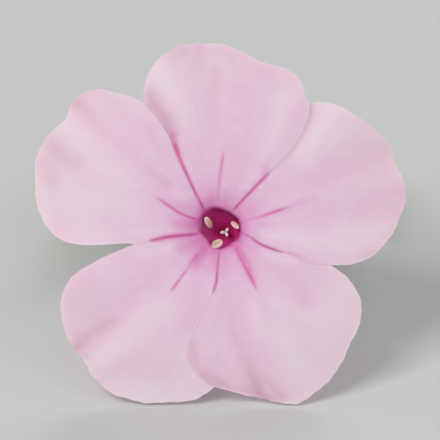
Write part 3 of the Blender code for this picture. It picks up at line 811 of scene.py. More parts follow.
def face_marks(points, lobe=None):
    """All that is painted on the face, at the given points."""
    return {
        mark: stroke_mask(points, (*FACE_MARKS.get(mark, ()), *LOBE_MARKS.get((lobe, mark), ())))
        for mark in ("flush_and_highlight", "shade", "painted_shade", "blush", "pale_and_lit")
    }


def face_height(radius):
    """Height of the open face above its middle, by distance from its axis, in millimetres."""
    reach = radius - BOWL_START
    dip = THROAT_DIP * (1.0 - ease(reach / THROAT_DIP_WIDTH))
    return BOWL_RISE * reach - BOWL_FALL * reach**2 + FACE_LIFT - dip


def throat_lean(height):
    """How far the throat leans aside at a height below the face, in millimetres."""
    depth = np.maximum(-height, 0.0)
    share = ease(depth / LEAN_FULL) * (1.0 - ease((depth - LEAN_KEPT) / LEAN_FADE))
    return share[:, None] * np.array(THROAT_LEAN)


def nearest_turn(turn, near):
    """The same direction, written as the angle within half a turn of another one."""
    return near + (turn - near + math.pi) % TAU - math.pi


def eye_offset(flat, radius):
    """How far the eye's edge stands outside its mean circle, fading out over the face."""
    edge = smooth_curve((*EYE, EYE[0]), EDGE_STEPS)
    edge = edge[np.argsort(turn_of(edge))]
    offset = np.interp(turn_of(flat), turn_of(edge), np.linalg.norm(edge, axis=1) - EYE_RADIUS, period=TAU)
    return offset * (1.0 - ease((radius - EYE_RADIUS) / EYE_FADE))


def seam_relief(lobe, flat, near, side):
    """Relief beside a lobe's first seam, on the upper side (1) or on the side that lies below it (-1)."""
    (rise, step), fused, free = SEAMS[lobe]
    seam = np.array((*fused, *free))
    radius = np.linalg.norm(flat, axis=1)
    seam_turn = np.interp(radius, np.linalg.norm(seam, axis=1), nearest_turn(turn_of(seam), near))
    inward = side * (nearest_turn(turn_of(flat), near) - seam_turn) * radius
    grown = ease((radius - math.hypot(*free[0])) / OVERLAP_WIDTH)
    crease = CREASE_DEPTH * (1.0 - grown) * (1.0 - np.tanh(inward / CREASE_WIDTH))
    if side > 0:
        return rise * grown * (1.0 - ease(inward / RISE_WIDTH)) - crease
    dip = step * (1.0 - ease(inward / STEP_WIDTH)) + TUCK * ease(-inward / TUCK_WIDTH)
    return -dip * grown - crease


def lobe_outline(lobe):
    """The turns at which a lobe's root starts and ends, and its first side, its rim and its hidden side."""
    arc, beside, rim, under, _ = LOBES[lobe]
    turns = np.radians(arc)
    roots = ROOT_RADIUS * np.column_stack([np.cos(turns), np.sin(turns)])
    free = SEAMS[lobe][2]
    return turns, (roots[0], *beside, *free), (free[-1], *rim), (roots[1], *under, rim[-1])


def between_sides(across, out, root, first, rim, last):
    """Fill the face between its root, its rim and the two sides, which all carry each point together."""
    u, v = across[:, None], out[:, None]
    sides = (1.0 - u) * along_curve(first, out) + u * along_curve(last, out)
    ends = (1.0 - v) * root + v * rim
    near = (1.0 - u) * np.array(first[0]) + u * np.array(last[0])
    far = (1.0 - u) * np.array(first[-1]) + u * np.array(last[-1])
    return sides + ends - (1.0 - v) * near - v * far


def rippled(edge, across, start):
    """Ripple a rim outwards and inwards, but for its two ends."""
    ripple = sum(np.sin(TAU * waves * across + shift * start) for waves, shift in RIM_WAVES)
    ripple *= RIM_RIPPLE * ease(RIM_CALM * across) * ease(RIM_CALM - RIM_CALM * across)
    return edge * (1.0 + ripple / np.linalg.norm(edge, axis=1))[:, None]


def lobe_place(lobe):
    """Give the formula of a lobe's face: out of the throat, then over the face to its rim."""
    (start, end), first, rim, last = lobe_outline(lobe)
    *_, hidden, folds = LOBES[lobe]
    free_edge = (*SEAMS[lobe][2], *rim[1:], *hidden[::-1])
    order = list(LOBES)
    following = order[(order.index(lobe) + 1) % len(order)]

    def place(across, along):
        turn = start + (end - start) * across
        way = np.stack([np.cos(turn), np.sin(turn)], axis=1)
        inside = along < THROAT_SHARE
        deep = clamp(along / THROAT_SHARE)
        out = clamp((along - THROAT_SHARE) / (1.0 - THROAT_SHARE))
        edge = rippled(along_curve(rim, across), across, start)
        flat = between_sides(across, out, ROOT_RADIUS * way, first, edge, last)
        radius = np.linalg.norm(flat, axis=1)
        seams = seam_relief(lobe, flat, start, 1) + seam_relief(following, flat, end, -1)
        offset = eye_offset(way * ROOT_RADIUS, radius)
        throat_reach, throat_height = along_curve(THROAT, deep).T
        lip = ease(deep / LIP_START) * (1.0 - ease((deep - LIP_END) / (1.0 - LIP_END)))
        throat = (throat_reach + offset * lip - SEAM_PINCH * seams)[:, None] * way
        throat += throat_lean(throat_height)
        flat = np.where(inside[:, None], throat, flat)
        veins = vein_mask(flat)
        fold = sum(height * hump(across - middle, width) for middle, width, height in folds)
        ribs = FINE_RIB_HEIGHT * np.cos(TAU * FINE_RIBS * across) * np.sin(math.pi * across)
        relief = fold * out**2 + ribs + seams - VEIN_DEPTH * veins
        height = np.where(inside, throat_height + seams, face_height(radius) + relief)
        # Painted shade: the throat's colour darkens with its depth below the lip
        throat_shade = LIP_SHADE * np.maximum(LIP_HEIGHT - throat_height, 0.0)
        from_rim, _ = away_from(flat, free_edge)
        masks = face_marks(flat, lobe)
        masks["reach"] = np.where(inside, throat_reach - throat_shade, radius)
        masks["reach"] -= offset + stroke_mask(flat, STAINS)
        masks["vein"] = veins * ease((deep - LIP_END) / LIP_LINES)
        masks["inner"] = ease(from_rim / THIN_WIDTH)
        # A thin painted highlight along the free rims, where the edges catch the light
        masks["rim"] = hump(from_rim, RIM_HIGHLIGHT)
        masks["depth"] = np.zeros(len(flat))
        return rest_on_surface(np.column_stack([flat, height])), masks

    return place


def rest_on_surface(points):
    """Bend the lowest rims forwards, so that they lie on the surface and don't pass through it."""
    height = FACE_CENTRE.z + points[:, 1] * math.cos(FACE_TILT) + points[:, 2] * math.sin(FACE_TILT)
    above = height - REST_HEIGHT
    wanted = REST_HEIGHT + 0.5 * (above + np.sqrt(above**2 + REST_SOFTNESS**2))
    lifted = points.copy()
    lifted[:, 2] += np.where(height < REST_BELOW, wanted - height, 0.0) / math.sin(FACE_TILT)
    return lifted


def make_lobe(lobe):
    """One lobe of the corolla, thinner at its rim, with its face and back told apart."""
    piece = shaped_grid(lobe, LOBE_GRID, lobe_place(lobe), FLOWER)
    count = len(piece.data.vertices)
    inner = np.empty(count)
    piece.data.attributes["inner"].data.foreach_get("value", inner)
    group = piece.vertex_groups.new(name="wall")
    for index, weight in enumerate(inner):
        group.add([index], float(weight), "REPLACE")
    thicken(piece, BLADE, 1.0, vertex_group=group.name, thickness_vertex_group=RIM_SHARE)
    piece.vertex_groups.clear()
    paint_run(piece, "front", count, 2 * count)
    return piece


def make_tube():
    """The corolla's tube: a profile turned round the flower's axis, widening at the throat."""
    corners = [(radius * MM, 0.0, height * MM) for radius, height in TUBE_PROFILE]
    edges = [(index, (index + 1) % len(corners)) for index in range(len(corners))]
    outline = bpy.data.meshes.new("tube")
    outline.from_pydata(corners, edges, [])
    piece = add_object("tube", outline)
    sides = {"steps": TUBE_SIDES, "render_steps": TUBE_SIDES}
    modify(piece, "SCREW", **sides, use_merge_vertices=True, merge_threshold=MERGE)
    mend(piece)
    modify(piece, "SUBSURF", levels=1, render_levels=1)
    points = points_of(piece) / MM
    radius = np.linalg.norm(points[:, :2], axis=1)
    inside = radius < lookup(WALL_MIDDLE, -points[:, 2])
    points[inside, :2] += throat_lean(points[inside, 2])
    reach = np.where(inside, np.minimum(radius, TUBE_EYE), radius)
    paint(piece, {"front": inside, "depth": -points[:, 2], "reach": reach, **face_marks(points[:, :2])})
    set_points(piece, moved(points, FLOWER))
    return piece


def make_corolla(petal):
    """The open corolla: five lobes grown together at the throat, and the tube behind them."""
    corolla = join("open_corolla", [*[make_lobe(lobe) for lobe in LOBES], make_tube()])
    finish_piece(corolla, "corolla", petal, 70.0)


def sweep_place(path, radii, cap, relief=None):
    """Give the formula of a round stalk along a path, closed at both ends."""
    line = smooth_curve(path)
    sizes = smooth_curve([(radius,) for radius in radii])[:, 0]
    travelled = travelled_along(line)
    travelled /= travelled[-1]
    ways = np.gradient(line, axis=0)
    ways /= np.linalg.norm(ways, axis=1)[:, None]
    side = Vector(ways[0]).orthogonal().normalized()
    sides = []
    for way in ways:
        side = (side - Vector(way) * side.dot(Vector(way))).normalized()
        sides.append(np.array(side))
    sides = np.array(sides)
    others = np.cross(ways, sides)

    def place(around, along):
        share = clamp((along - cap) / (1.0 - 2.0 * cap))
        closing = clamp(np.minimum(along, 1.0 - along) / cap)
        turn = TAU * around
        radius = np.interp(share, np.linspace(0.0, 1.0, len(sizes)), sizes) * closing
        if relief is not None:
            radius = radius * relief(turn, share)
        outward = np.cos(turn)[:, None] * read_rows(share, travelled, sides)
        outward += np.sin(turn)[:, None] * read_rows(share, travelled, others)
        points = read_rows(share, travelled, line) + radius[:, None] * outward
        return points, {"share": share, "skin": closing}

    return place


def make_stalk(name, path, radii, grid, skin, frame_matrix=FLOWER, relief=None):
    """A round stalk along a path, with its material."""
    place = sweep_place(path, radii, 2.0 / grid[1], relief)
    piece = shaped_grid(name, grid, place, frame_matrix, closed=True)
    piece.data.materials.append(skin)
    return piece


def make_anther(middle, lean, size, pollen_side, skin):
    """A two-lobed anther: a ball grooved down two sides, stretched and set at its lean."""
    piece = add_ball(*ANTHER_BALL, skin)
    points = points_of(piece)
    groove = hump(np.abs(turn_of(points)) - math.pi / 2.0, GROOVE_WIDTH)
    reach = np.hypot(points[:, 0], points[:, 1])
    turned = upright_to((*lean, 1.0))
    facing = moved(points, turned) @ np.array(Vector(pollen_side).normalized())
    points[:, :2] *= (1.0 - GROOVE_DEPTH * groove * clamp(reach * GROOVE_ENDS))[:, None]
    paint(piece, {"groove": groove, "pollen": ease((facing - POLLEN_START) / POLLEN_FADE)})
    stretch = Matrix.Diagonal((*size, 1.0))
    set_points(piece, moved(points, FLOWER @ Matrix.Translation(middle) @ turned @ stretch))
    return piece


def make_stamens(cream, rose):
    """Five stamens: each an anther on its filament, which rises from the tube's wall."""
    for number, (middle, lean, size, pollen_side, foot_depth) in enumerate(STAMENS, start=1):
        anther = make_anther(middle, lean, size, pollen_side, cream)
        axis = Vector((*lean, 1.0)).normalized()
        outward = Vector((middle[0], middle[1], 0.0)).normalized()
        foot = outward * float(lookup(FOOT_WALL, foot_depth))
        foot.z = -foot_depth
        back = Vector(middle) - axis * size[2] * FILAMENT_TIP
        path = (foot, foot.lerp(back, 0.5) + outward * FILAMENT_BOW, back)
        filament = make_stalk("filament", path, FILAMENT_RADII, FILAMENT_GRID, rose)
        stamen = join(f"pollen_stamen_{number}", [anther, filament])
        finish_piece(stamen, f"stamen_{number}", sharp=60.0)


def make_pistil(green, pink):
    """The ovary, the long style and the three arms of the stigma."""
    ovary = add_ball(*OVARY_BALL, green)
    place = FLOWER @ Matrix.Translation((0.0, 0.0, OVARY_HEIGHT)) @ Matrix.Diagonal((*OVARY, 1.0))
    set_points(ovary, moved(points_of(ovary), place))
    parts = [ovary, make_stalk("style", STYLE, STYLE_RADII, STYLE_GRID, green)]
    start = np.array(STYLE[-1])
    for end in STIGMA_ENDS:
        path = [start + (end - start) * share + (0.0, 0.0, lift) for share, lift in STIGMA_BENDS]
        parts.append(make_stalk("stigma_arm", path, STIGMA_RADII, STIGMA_GRID, pink))
    finish_piece(join("style_and_stigma", parts), "pistil", sharp=60.0)


def calyx_place(inner, length, tooth):
    """Give the formula of a five-toothed cup's middle surface, with its foot at zero."""
    radius = inner + CALYX_WALL / 2.0
    bend_start, bend_length = TOOTH_BEND

    def place(across, along):
        beside = np.abs((across * CALYX_TEETH) % 1.0 - 0.5) * 2.0
        swing = 0.5 * math.pi * clamp(along / FLOOR_SHARE)
        climb = clamp((along - FLOOR_SHARE) / (1.0 - FLOOR_SHARE))
        top = length - tooth * beside**TOOTH_CURVE
        rib = hump(beside, RIB_WIDTH)
        seam = hump(beside - 1.0, CALYX_SEAM_WIDTH)
        relief = (RIB_HEIGHT * rib - CALYX_SEAM * RIB_HEIGHT * seam) * ease(climb / RIB_START)
        spread = TOOTH_SPREAD * ease((climb - bend_start) / bend_length) * (1.0 - beside)
        reach = radius * np.sin(swing) + relief + spread
        height = FLOOR_RISE * (1.0 - np.cos(swing)) + (top - FLOOR_RISE) * climb
        return ring(TAU * across, reach, height), {"rib": rib, "seam": seam, "climb": climb}

    return place


def add_hairs(name, owner, count, length, seed, keep):
    """Short fine hairs over a piece's skin, as small spikes in one mesh."""
    rng = np.random.default_rng(seed)
    owner.data.calc_loop_triangles()
    corners = np.array([triangle.vertices[:] for triangle in owner.data.loop_triangles])
    points = points_of(owner)
    a, b, c = points[corners[:, 0]], points[corners[:, 1]], points[corners[:, 2]]
    normals = np.cross(b - a, c - a)
    areas = np.linalg.norm(normals, axis=1)
    normals /= np.maximum(areas, TINY_AREA)[:, None]
    weight = areas * keep((a + b + c) / 3.0, normals)
    picks = rng.choice(len(corners), size=count, p=weight / weight.sum())
    foot, tip = HAIR_RADII
    shape = bmesh.new()
    for pick in picks:
        u, v = sorted(rng.random(2))
        root = a[pick] * u + b[pick] * (v - u) + c[pick] * (1.0 - v)
        way = Vector(normals[pick] + rng.normal(0.0, HAIR_LEAN, 3)).normalized()
        size = length * MM * rng.uniform(*HAIR_LENGTHS)
        place = Matrix.Translation(Vector(root) + way * size * HAIR_SUNK) @ upright_to(way)
        bmesh.ops.create_cone(
            shape, cap_ends=True, segments=3, radius1=foot * MM, radius2=tip * MM, depth=size, matrix=place
        )
    hairs = bpy.data.meshes.new(name)
    shape.to_mesh(hairs)
    shape.free()
    return add_object(name, hairs)


def make_calyx(name, node, size, place, grid, hairs, skin, hair):
    """A green calyx with its ribs, its pale seams, its teeth and its fine hairs."""
    piece = shaped_grid(name, grid, calyx_place(*size), place, closed=True)
    thicken(piece, CALYX_SHEET)
    base = np.array(place.to_translation())
    axis = np.array((place.to_3x3() @ Vector((0.0, 0.0, 1.0))).normalized())

    def outside(middles, normals):
        from_foot = middles - base
        outward = from_foot - (from_foot @ axis)[:, None] * axis
        outward /= np.maximum(np.linalg.norm(outward, axis=1), TINY_LENGTH)[:, None]
        return (np.sum(outward * normals, axis=1) > HAIR_FACING).astype(float)

    coat = add_hairs(name + "_hairs", piece, hairs, CALYX_HAIR, 7, outside)
    finish_piece(piece, node, skin, 70.0)
    finish_piece(coat, node, hair)


def bud_place(length, calyx, head):
    """Give the formula of a furled corolla: a slim neck, and a head of five lobes wrapped in a spiral."""
    bluntness, fullness = BUD_TAPER

    def place(across, along):
        height = BUD_START + (length - BUD_START) * along
        swell = ease((height - calyx * BUD_HEAD_START) / (length * BUD_HEAD_WIDTH))
        past = clamp(height / length - BUD_TAPER_START) / (1.0 - BUD_TAPER_START)
        taper = clamp(1.0 - past**bluntness) ** fullness
        foot = np.sqrt(ease(along * BUD_FOOT))
        phase = (BUD_LOBES * across + BUD_TWIST * height / TAU) % 1.0
        wrap = BUD_STEP * (phase - 0.5) - BUD_GROOVE * hump(phase, BUD_GROOVE_WIDTH)
        radius = (BUD_NECK + (head - BUD_NECK) * swell) * taper * foot * (1.0 + wrap * swell)
        edge = hump(phase - 1.0, BUD_EDGE) * swell
        masks = {"edge": edge, "rise": height / length, "wrap": phase * swell}
        return ring(TAU * across, radius, height), masks

    return place


def make_buds(petal, skin, hair):
    """Two buds, each furled in its own calyx."""
    for side, (foot, tip, calyx, head) in BUDS.items():
        way = Vector(tip) - Vector(foot)
        place = SPRIG @ Matrix.Translation(foot) @ upright_to(way)
        furled = bud_place(way.length, calyx, head)
        bud = shaped_grid(f"furled_bud_{side}", BUD_GRID, furled, place, closed=True)
        finish_piece(bud, f"bud_{side}", petal, 50.0)
        size = (BUD_NECK + BUD_CALYX_GAP, calyx, calyx * BUD_TOOTH_SHARE)
        make_calyx(f"bud_cup_{side}", f"bud_calyx_{side}", size, place, BUD_CALYX_GRID, BUD_HAIRS, skin, hair)


def leaf_place(leaf):
    """Give the formula of a leaf's middle surface: a pointed blade, keeled, waved and quilted."""
    foot, bend, tip = np.array(LEAVES[leaf][:3])
    width = LEAVES[leaf][3]
    slimness, point = LEAF_SHAPE

    def place(across, along):
        side = 2.0 * across - 1.0
        aside = np.abs(side)
        rest = 1.0 - along
        points = foot * rest[:, None] ** 2 + bend * (2.0 * rest * along)[:, None] + tip * along[:, None] ** 2
        way = (bend - foot) * rest[:, None] + (tip - bend) * along[:, None]
        sideways = np.column_stack([way[:, 1], -way[:, 0]])
        sideways /= np.linalg.norm(sideways, axis=1)[:, None]
        shape = LEAF_FOOT_SHARE * rest + LEAF_TIP_SHARE + np.sin(math.pi * along**slimness) ** point
        reach = 0.5 * width * shape * side
        off_rib = np.abs(reach)
        midrib = hump(off_rib, MIDRIB_WIDTH)
        slant = LEAF_VEIN_SLANT * aside**LEAF_VEIN_CURVE - LEAF_VEIN_SHIFT * np.sign(side)
        between = np.abs((LEAF_VEINS * along - slant) % 1.0 - 0.5) * 2.0
        inner = ease((1.0 - aside) / LEAF_MARGIN)
        vein = clamp(hump(between - 1.0, LEAF_VEIN_WIDTH) * inner * ease(along / LEAF_VEIN_START))
        quilt = LEAF_QUILT * (1.0 - between**2) * inner - LEAF_VEIN_DEPTH * vein - MIDRIB_DEPTH * midrib
        wave = np.sin(TAU * LEAF_WAVES * along + LEAF_WAVE_SHIFT * side)
        points[:, :2] += sideways * reach[:, None]
        points[:, 2] += LEAF_KEEL * off_rib + LEAF_WAVE * aside * wave + quilt
        return points, {"midrib": midrib, "vein": vein, "side": aside}

    return place


def make_leaves(skin):
    """The pair of small upper leaves."""
    for leaf in LEAVES:
        piece = shaped_grid("veined_" + leaf, LEAF_GRID, leaf_place(leaf), SPRIG)
        count = len(piece.data.vertices)
        thicken(piece, LEAF_SHEET)
        paint_run(piece, "top", 0, count)
        finish_piece(piece, leaf, skin, 70.0)


def make_stem(skin, hair):
    """The cut stem, its swollen node and the stalks of the buds, flat where they touch the surface."""

    def ridged(turn, share):
        return 1.0 + STEM_RIDGE_HEIGHT * np.cos(STEM_RIDGES * turn) * ease(share / STEM_RIDGE_START)

    def in_the_open(middles, normals):
        raised = middles[:, 2] > STEM_BARE_BELOW * MM
        return (raised & (middles[:, 1] < STEM_BARE_BEHIND * MM)).astype(float)

    parts = [make_stalk("main_stem", STEM_PATH, STEM_RADII, STEM_GRID, skin, SPRIG, ridged)]
    for foot, tip, _, _ in BUDS.values():
        foot = Vector(foot)
        way = (Vector(tip) - foot).normalized()
        end = foot - way * STALK_GAP
        root = Vector((math.copysign(STALK_ROOT[0], foot.x), *STALK_ROOT[1:]))
        middle = root.lerp(end, STALK_BEND) + Vector((0.0, 0.0, STALK_ARCH))
        path = (root, middle, end - way * STALK_END, end)
        parts.append(make_stalk("bud_stalk", path, STALK_RADII, STALK_GRID, skin, SPRIG))
    stem = join("cut_stem", parts)
    points = points_of(stem)
    points[:, 2] = np.maximum(points[:, 2], 0.0)
    set_points(stem, points)
    coat = add_hairs("stem_hairs", stem, STEM_HAIRS, STEM_HAIR, 11, in_the_open)
    finish_piece(stem, "stem", sharp=50.0)
    finish_piece(coat, "stem", hair)


class Skin:
    """A material and the few kinds of node that its pattern is put together from.

    Light passes into it with the given weight, to a depth in millimetres. Scales are for places in metres.
    """

    def __init__(self, name, roughness, weight=0.0, depth=0.0, **values):
        self.material = bpy.data.materials.new(name)
        self.material.use_nodes = True
        self.tree = self.material.node_tree
        self.shader = self.tree.nodes["Principled BSDF"]
        values.update(Roughness=roughness, Subsurface_Radius=SCATTER)
        values.update(Subsurface_Weight=weight, Subsurface_Scale=depth * MM)
        for socket, value in values.items():
            self.shader.inputs[socket.replace("_", " ")].default_value = value

    def node(self, kind, settings=None, **links):
        """Add a node, with its settings, and its sockets linked or set by name."""
        made = self.tree.nodes.new("ShaderNode" + kind)
        for key, value in (settings or {}).items():
            setattr(made, key, value)
        for socket, value in links.items():
            self.feed(made.inputs[socket.replace("_", " ")], value)
        return made

    def feed(self, socket, value):
        """Link an output to a socket, or set the socket's own value."""
        if isinstance(value, bpy.types.NodeSocket):
            self.tree.links.new(value, socket)
        else:
            socket.default_value = value

    def place(self):
        """The piece's own coordinates, in metres."""
        return self.node("TexCoord").outputs["Object"]

    def streaks(self, vector, scale):
        """Soft noise drawn out by uneven scales."""
        return self.noise(self.node("Mapping", Vector=vector, Scale=scale).outputs["Vector"], 1.0, 4.0, 0.6)

    def petal_streaks(self, across, along):
        """Soft streaks along a grown petal, by how far across and along it a point is."""
        return self.streaks(self.node("UVMap", {"uv_map": "UVMap"}).outputs["UV"], (across, along, 1.0))

    def mask(self, name, strength=1.0):
        """A number painted on the piece, at a share of its strength."""
        painted = self.node("Attribute", {"attribute_name": name}).outputs["Fac"]
        return painted if strength == 1.0 else self.times(painted, strength)

    def noise(self, vector, scale, detail=3.0, roughness=0.5):
        """Soft cloudy noise from 0 to 1."""
        made = self.node("TexNoise", Vector=vector, Scale=scale, Detail=detail, Roughness=roughness)
        return made.outputs["Fac"]

    def cells(self, vector, scale):
        """Distance to the nearest cell's middle."""
        return self.node("TexVoronoi", Vector=vector, Scale=scale).outputs["Distance"]

    def math(self, operation, a, b):
        """One sum on two numbers."""
        made = self.node("Math", {"operation": operation})
        self.feed(made.inputs[0], a)
        self.feed(made.inputs[1], b)
        return made.outputs[0]

    def times(self, a, b):
        """One number times another."""
        return self.math("MULTIPLY", a, b)

    def spread(self, value, low, high, to_low=0.0, to_high=1.0):
        """Map a range of a number to another range, held at its ends."""
        made = self.node("MapRange", {"interpolation_type": "SMOOTHSTEP"})
        for socket, item in zip(made.inputs[:5], (value, low, high, to_low, to_high)):
            self.feed(socket, item)
        return made.outputs["Result"]

    def ramp(self, value, stops):
        """Colours by a number from 0 to 1."""
        made = self.node("ValToRGB", Fac=value)
        elements = made.color_ramp.elements
        for _ in stops[2:]:
            elements.new(1.0)
        for element, (position, colour) in zip(elements, stops):
            element.position = position
            element.color = (*colour, 1.0)
        return made.outputs["Color"]

    def mix(self, factor, first, second):
        """Blend one colour into another by a factor."""
        made = self.node("Mix", {"data_type": "RGBA"})
        self.feed(made.inputs["Factor"], factor)
        for index, colour in ((6, first), (7, second)):
            if not isinstance(colour, bpy.types.NodeSocket):
                colour = (*colour, 1.0)
            self.feed(made.inputs[index], colour)
        return made.outputs[2]

    def coats(self, ground, *coats):
        """Lay colours over a ground one after another, each by its own factor."""
        for factor, colour in coats:
            ground = self.mix(factor, ground, colour)
        return ground

    def finish(self, colour, height=None, depth=0.0, strength=1.0):
        """Give the shader its colour and its fine relief, of a depth in millimetres."""
        self.feed(self.shader.inputs["Base Color"], colour)
        if height:
            made = self.node("Bump", Height=height, Strength=strength, Distance=depth * MM)
            self.feed(self.shader.inputs["Normal"], made.outputs["Normal"])
        return self.material


def plain_skin(name, roughness, scale, first, second, **light):
    """A plain material, softly clouded between two colours."""
    skin = Skin(name, roughness, **light)
    return skin.finish(skin.mix(skin.noise(skin.place(), scale), first, second))


def petal_skin():
    """Pale pink blades with a magenta eye, magenta lines, soft blushes, painted shade and painted highlights,
    and a rosy tube behind.
    """
    skin = Skin("petal_pink", 0.6, 0.3, 0.2, Specular_IOR_Level=0.05)
    place = skin.place()
    streaks = skin.petal_streaks(70.0, 2.2)
    clouds = skin.noise(place, 260.0, 3.0, 0.55)
    mottle = skin.noise(place, 900.0)
    papillae = skin.cells(place, 9000.0)
    jitter = skin.times(skin.math("SUBTRACT", mottle, 0.5), 0.4)
    reach = skin.math("DIVIDE", skin.math("ADD", skin.mask("reach"), jitter), FACE_SPAN)
    eye = skin.ramp(reach, FACE_COLOURS)
    blade = skin.coats(
        eye,
        # Painted light where the lobes turn to the lamp, laid over their own paler tone
        (skin.mask("pale_and_lit", 0.88), (0.81, 0.685, 0.75)),
        (skin.times(skin.mask("blush", 0.82), skin.spread(clouds, 0.2, 0.7, 0.5, 1.0)), (0.76, 0.48, 0.61)),
        # Painted shade: shadow where one lobe lies over another, and shade on folds and sides turned from the
        # light
        (skin.times(skin.mask("painted_shade"), skin.spread(clouds, 0.2, 0.75, 0.45, 0.9)), (0.60, 0.34, 0.45)),
        (skin.spread(clouds, 0.45, 0.75, 0.0, 0.2), (0.77, 0.51, 0.65)),
        (skin.spread(mottle, 0.5, 0.7, 0.0, 0.2), (0.82, 0.67, 0.76)),
        (skin.spread(streaks, 0.52, 0.72, 0.0, 0.12), (0.72, 0.42, 0.58)),
    )
    face = skin.coats(
        skin.mix(skin.spread(skin.mask("reach"), 1.4, 1.9), eye, blade),
        # Flushes of the flower's own colour, with one small painted highlight on the eye's upper wall
        (skin.mask("flush_and_highlight"), (0.67, 0.21, 0.46)),
        (skin.mask("shade"), (0.24, 0.006, 0.06)),
        (skin.mask("vein"), (0.66, 0.085, 0.35)),
        # The thin painted highlight along the rims
        (skin.mask("rim", 0.15), (0.88, 0.78, 0.83)),
    )
    back = skin.coats(
        skin.ramp(skin.math("DIVIDE", skin.mask("depth"), TUBE_LENGTH), TUBE_COLOURS),
        (skin.spread(streaks, 0.45, 0.7, 0.0, 0.25), (0.74, 0.42, 0.60)),
        (skin.mask("vein", 0.35), (0.60, 0.20, 0.42)),
    )
    relief = skin.math("ADD", streaks, skin.times(papillae, 0.25))
    return skin.finish(skin.mix(skin.mask("front"), back, face), relief, 0.03, 0.35)


def anther_skin():
    """Pale rose anthers, ochre with pollen where they open."""
    skin = Skin("anther_cream", 0.85, 0.1, 0.2)
    grains = skin.cells(skin.place(), 22000.0)
    dusted = skin.coats(
        (0.92, 0.64, 0.67),
        (skin.mask("pollen"), (0.66, 0.43, 0.28)),
        (skin.mask("groove", 0.4), (0.52, 0.38, 0.26)),
        (skin.spread(grains, 0.15, 0.5, 0.35, 0.0), (0.92, 0.80, 0.62)),
    )
    return skin.finish(dusted, skin.math("SUBTRACT", 1.0, grains), 0.03, 0.7)


def style_skin():
    """A pale green ovary, and a style that turns rosy towards its top."""
    skin = Skin("style_pale", 0.45, 0.2, 0.2)
    rosy = skin.coats(
        (0.62, 0.58, 0.36),
        (skin.noise(skin.place(), 4200.0), (0.74, 0.48, 0.52)),
        (skin.spread(skin.mask("share"), 0.3, 0.9), (0.78, 0.40, 0.48)),
    )
    return skin.finish(rosy)


def stigma_skin():
    """Moist, pale pink arms with fine bumps."""
    skin = Skin("stigma_pale", 0.28, 0.3, 0.2, Coat_Weight=0.3)
    bumps = skin.cells(skin.place(), 26000.0)
    tinted = skin.coats(
        (0.56, 0.30, 0.36),
        (skin.spread(skin.mask("share"), 0.3, 0.75), (0.98, 0.76, 0.83)),
        (skin.spread(bumps, 0.1, 0.5, 0.0, 0.25), (0.85, 0.50, 0.62)),
    )
    return skin.finish(tinted, bumps, 0.02, 0.6)


def calyx_skin():
    """Green ribs, paler skin between them and purple-tinged tips."""
    skin = Skin("calyx_green", 0.5, 0.1, 0.3)
    grain = skin.noise(skin.place(), 3000.0, 4.0, 0.6)
    tips = skin.spread(skin.math("ADD", skin.mask("climb"), skin.times(grain, 0.2)), 0.85, 1.1)
    tinged = skin.coats(
        (0.15, 0.27, 0.06),
        (skin.spread(grain, 0.35, 0.7), (0.24, 0.36, 0.11)),
        (skin.mask("rib"), (0.10, 0.22, 0.04)),
        (skin.mask("seam", 0.8), (0.52, 0.56, 0.34)),
        (skin.times(tips, 0.7), (0.28, 0.09, 0.12)),
    )
    return skin.finish(tinged, grain, 0.05, 0.5)


def leaf_skin():
    """Deep green above with paler veins, and a lighter matt underside."""
    skin = Skin("leaf_green", 0.42, 0.08, 0.3)
    place = skin.place()
    grain = skin.noise(place, 2200.0, 5.0, 0.6)
    clouds = skin.noise(place, 320.0)
    net = skin.cells(place, 2600.0)
    veins = skin.math("MAXIMUM", skin.mask("vein", 0.6), skin.mask("midrib"))
    above = skin.coats(
        (0.055, 0.155, 0.028),
        (skin.spread(clouds, 0.3, 0.7), (0.10, 0.235, 0.05)),
        (skin.spread(grain, 0.4, 0.7, 0.0, 0.5), (0.13, 0.27, 0.07)),
        (skin.spread(net, 0.35, 0.6, 0.0, 0.3), (0.16, 0.32, 0.09)),
        (skin.times(veins, 0.8), (0.30, 0.42, 0.16)),
        (skin.spread(skin.mask("side"), 0.94, 1.0, 0.0, 0.6), (0.30, 0.36, 0.16)),
    )
    below = skin.mix(skin.times(veins, 0.7), (0.19, 0.30, 0.12), (0.38, 0.47, 0.24))
    relief = skin.math("SUBTRACT", grain, skin.times(net, 0.6))
    return skin.finish(skin.mix(skin.mask("top"), below, above), relief, 0.05, 0.6)


def bud_skin():
    """Furled petals: rosy, deeper low down, with painted shade where each lobe tucks under the next one's
    edge, and a paler rim along each wrapped edge.
    """
    skin = Skin("bud_pink", 0.5, 0.25, 0.4, Sheen_Weight=0.1)
    streaks = skin.petal_streaks(60.0, 4.0)
    edged = skin.coats(
        skin.ramp(skin.mask("rise"), BUD_COLOURS),
        # Painted shade where each lobe starts from under the edge of the one before
        (skin.spread(skin.mask("wrap"), 0.0, 0.35, 0.4, 0.0), (0.50, 0.12, 0.32)),
        (skin.spread(streaks, 0.45, 0.7, 0.0, 0.4), (0.78, 0.46, 0.62)),
        (skin.mask("edge", 0.6), (0.84, 0.62, 0.73)),
    )
    return skin.finish(edged, streaks, 0.03, 0.5)


def stem_skin():
    """Green stem with fine lines, tinged with purple, and pale pith at the cut."""
    skin = Skin("stem_green", 0.45, 0.08, 0.3)
    place = skin.place()
    lines = skin.streaks(place, (4000.0, 260.0, 4000.0))
    tinged = skin.coats(
        (0.15, 0.24, 0.06),
        (skin.spread(lines, 0.35, 0.7), (0.27, 0.36, 0.13)),
        (skin.spread(skin.noise(place, 240.0), 0.5, 0.75, 0.0, 0.5), (0.24, 0.13, 0.10)),
    )
    pith = skin.ramp(skin.mask("skin"), CUT_COLOURS)
    return skin.finish(skin.mix(skin.spread(skin.mask("skin"), 0.93, 1.0), pith, tinged), lines, 0.05, 0.6)


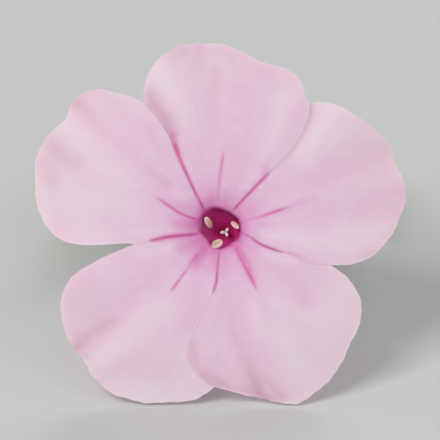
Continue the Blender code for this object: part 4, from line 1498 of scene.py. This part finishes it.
def make_floor(skin):
    """A plain pale surface."""
    deselect_all()
    bpy.ops.mesh.primitive_plane_add(size=FLOOR_SIZE, location=(0.0, 0.0, FLOOR_HEIGHT))
    floor = bpy.context.active_object
    rename(floor, "floor")
    floor.data.materials.append(skin)


def make_lights():
    """Soft daylight from the upper left and a weaker fill, all turned to the flower."""
    for name, (place, size, energy, colour) in LIGHTS.items():
        data = bpy.data.lights.new(name, "AREA")
        data.size = size
        data.energy = energy
        data.color = colour
        light = add_object(name, data)
        light.location = place
        light.rotation_euler = (FACE_CENTRE * MM - Vector(place)).to_track_quat("-Z", "Y").to_euler()
    world = bpy.data.worlds.new("studio")
    world.use_nodes = True
    sky = world.node_tree.nodes["Background"].inputs
    sky["Color"].default_value = SKY
    sky["Strength"].default_value = SKY_STRENGTH
    bpy.context.scene.world = world
    bpy.context.scene.view_settings.view_transform = "Standard"


def make_camera():
    """A long lens straight in front of the flower's face."""
    data = bpy.data.cameras.new("camera")
    data.sensor_width = SENSOR
    data.lens = SENSOR * VIEW_DISTANCE / VIEW_WIDTH
    data.clip_start = VIEW_NEAR
    camera = add_object("camera", data)
    camera.location = FLOWER @ Vector((*VIEW_SHIFT, VIEW_DISTANCE))
    camera.rotation_euler = (FACE_TURN, 0.0, 0.0)
    bpy.context.scene.camera = camera


make_floor(plain_skin("floor_pale", 0.9, 40.0, (0.60, 0.60, 0.585), (0.62, 0.62, 0.605)))
make_camera()
make_lights()
green = calyx_skin()
hair = plain_skin("hair_pale", 0.4, 800.0, (0.55, 0.60, 0.42), (0.74, 0.76, 0.62), weight=0.2, depth=0.1)
rose = plain_skin("filament_rose", 0.5, 5000.0, (0.55, 0.12, 0.30), (0.72, 0.30, 0.45), weight=0.2, depth=0.2)
make_corolla(petal_skin())
make_stamens(anther_skin(), rose)
make_pistil(style_skin(), stigma_skin())
calyx_foot = FLOWER @ Matrix.Translation((0.0, 0.0, -(TUBE_LENGTH + CALYX_GAP + CALYX_WALL / 2.0)))
calyx_size = (CALYX_INNER, CALYX_LENGTH, TOOTH_LENGTH)
make_calyx("ribbed_calyx", "calyx", calyx_size, calyx_foot, CALYX_GRID, CALYX_HAIRS, green, hair)
make_buds(bud_skin(), green, hair)
make_leaves(leaf_skin())
make_stem(stem_skin(), hair)
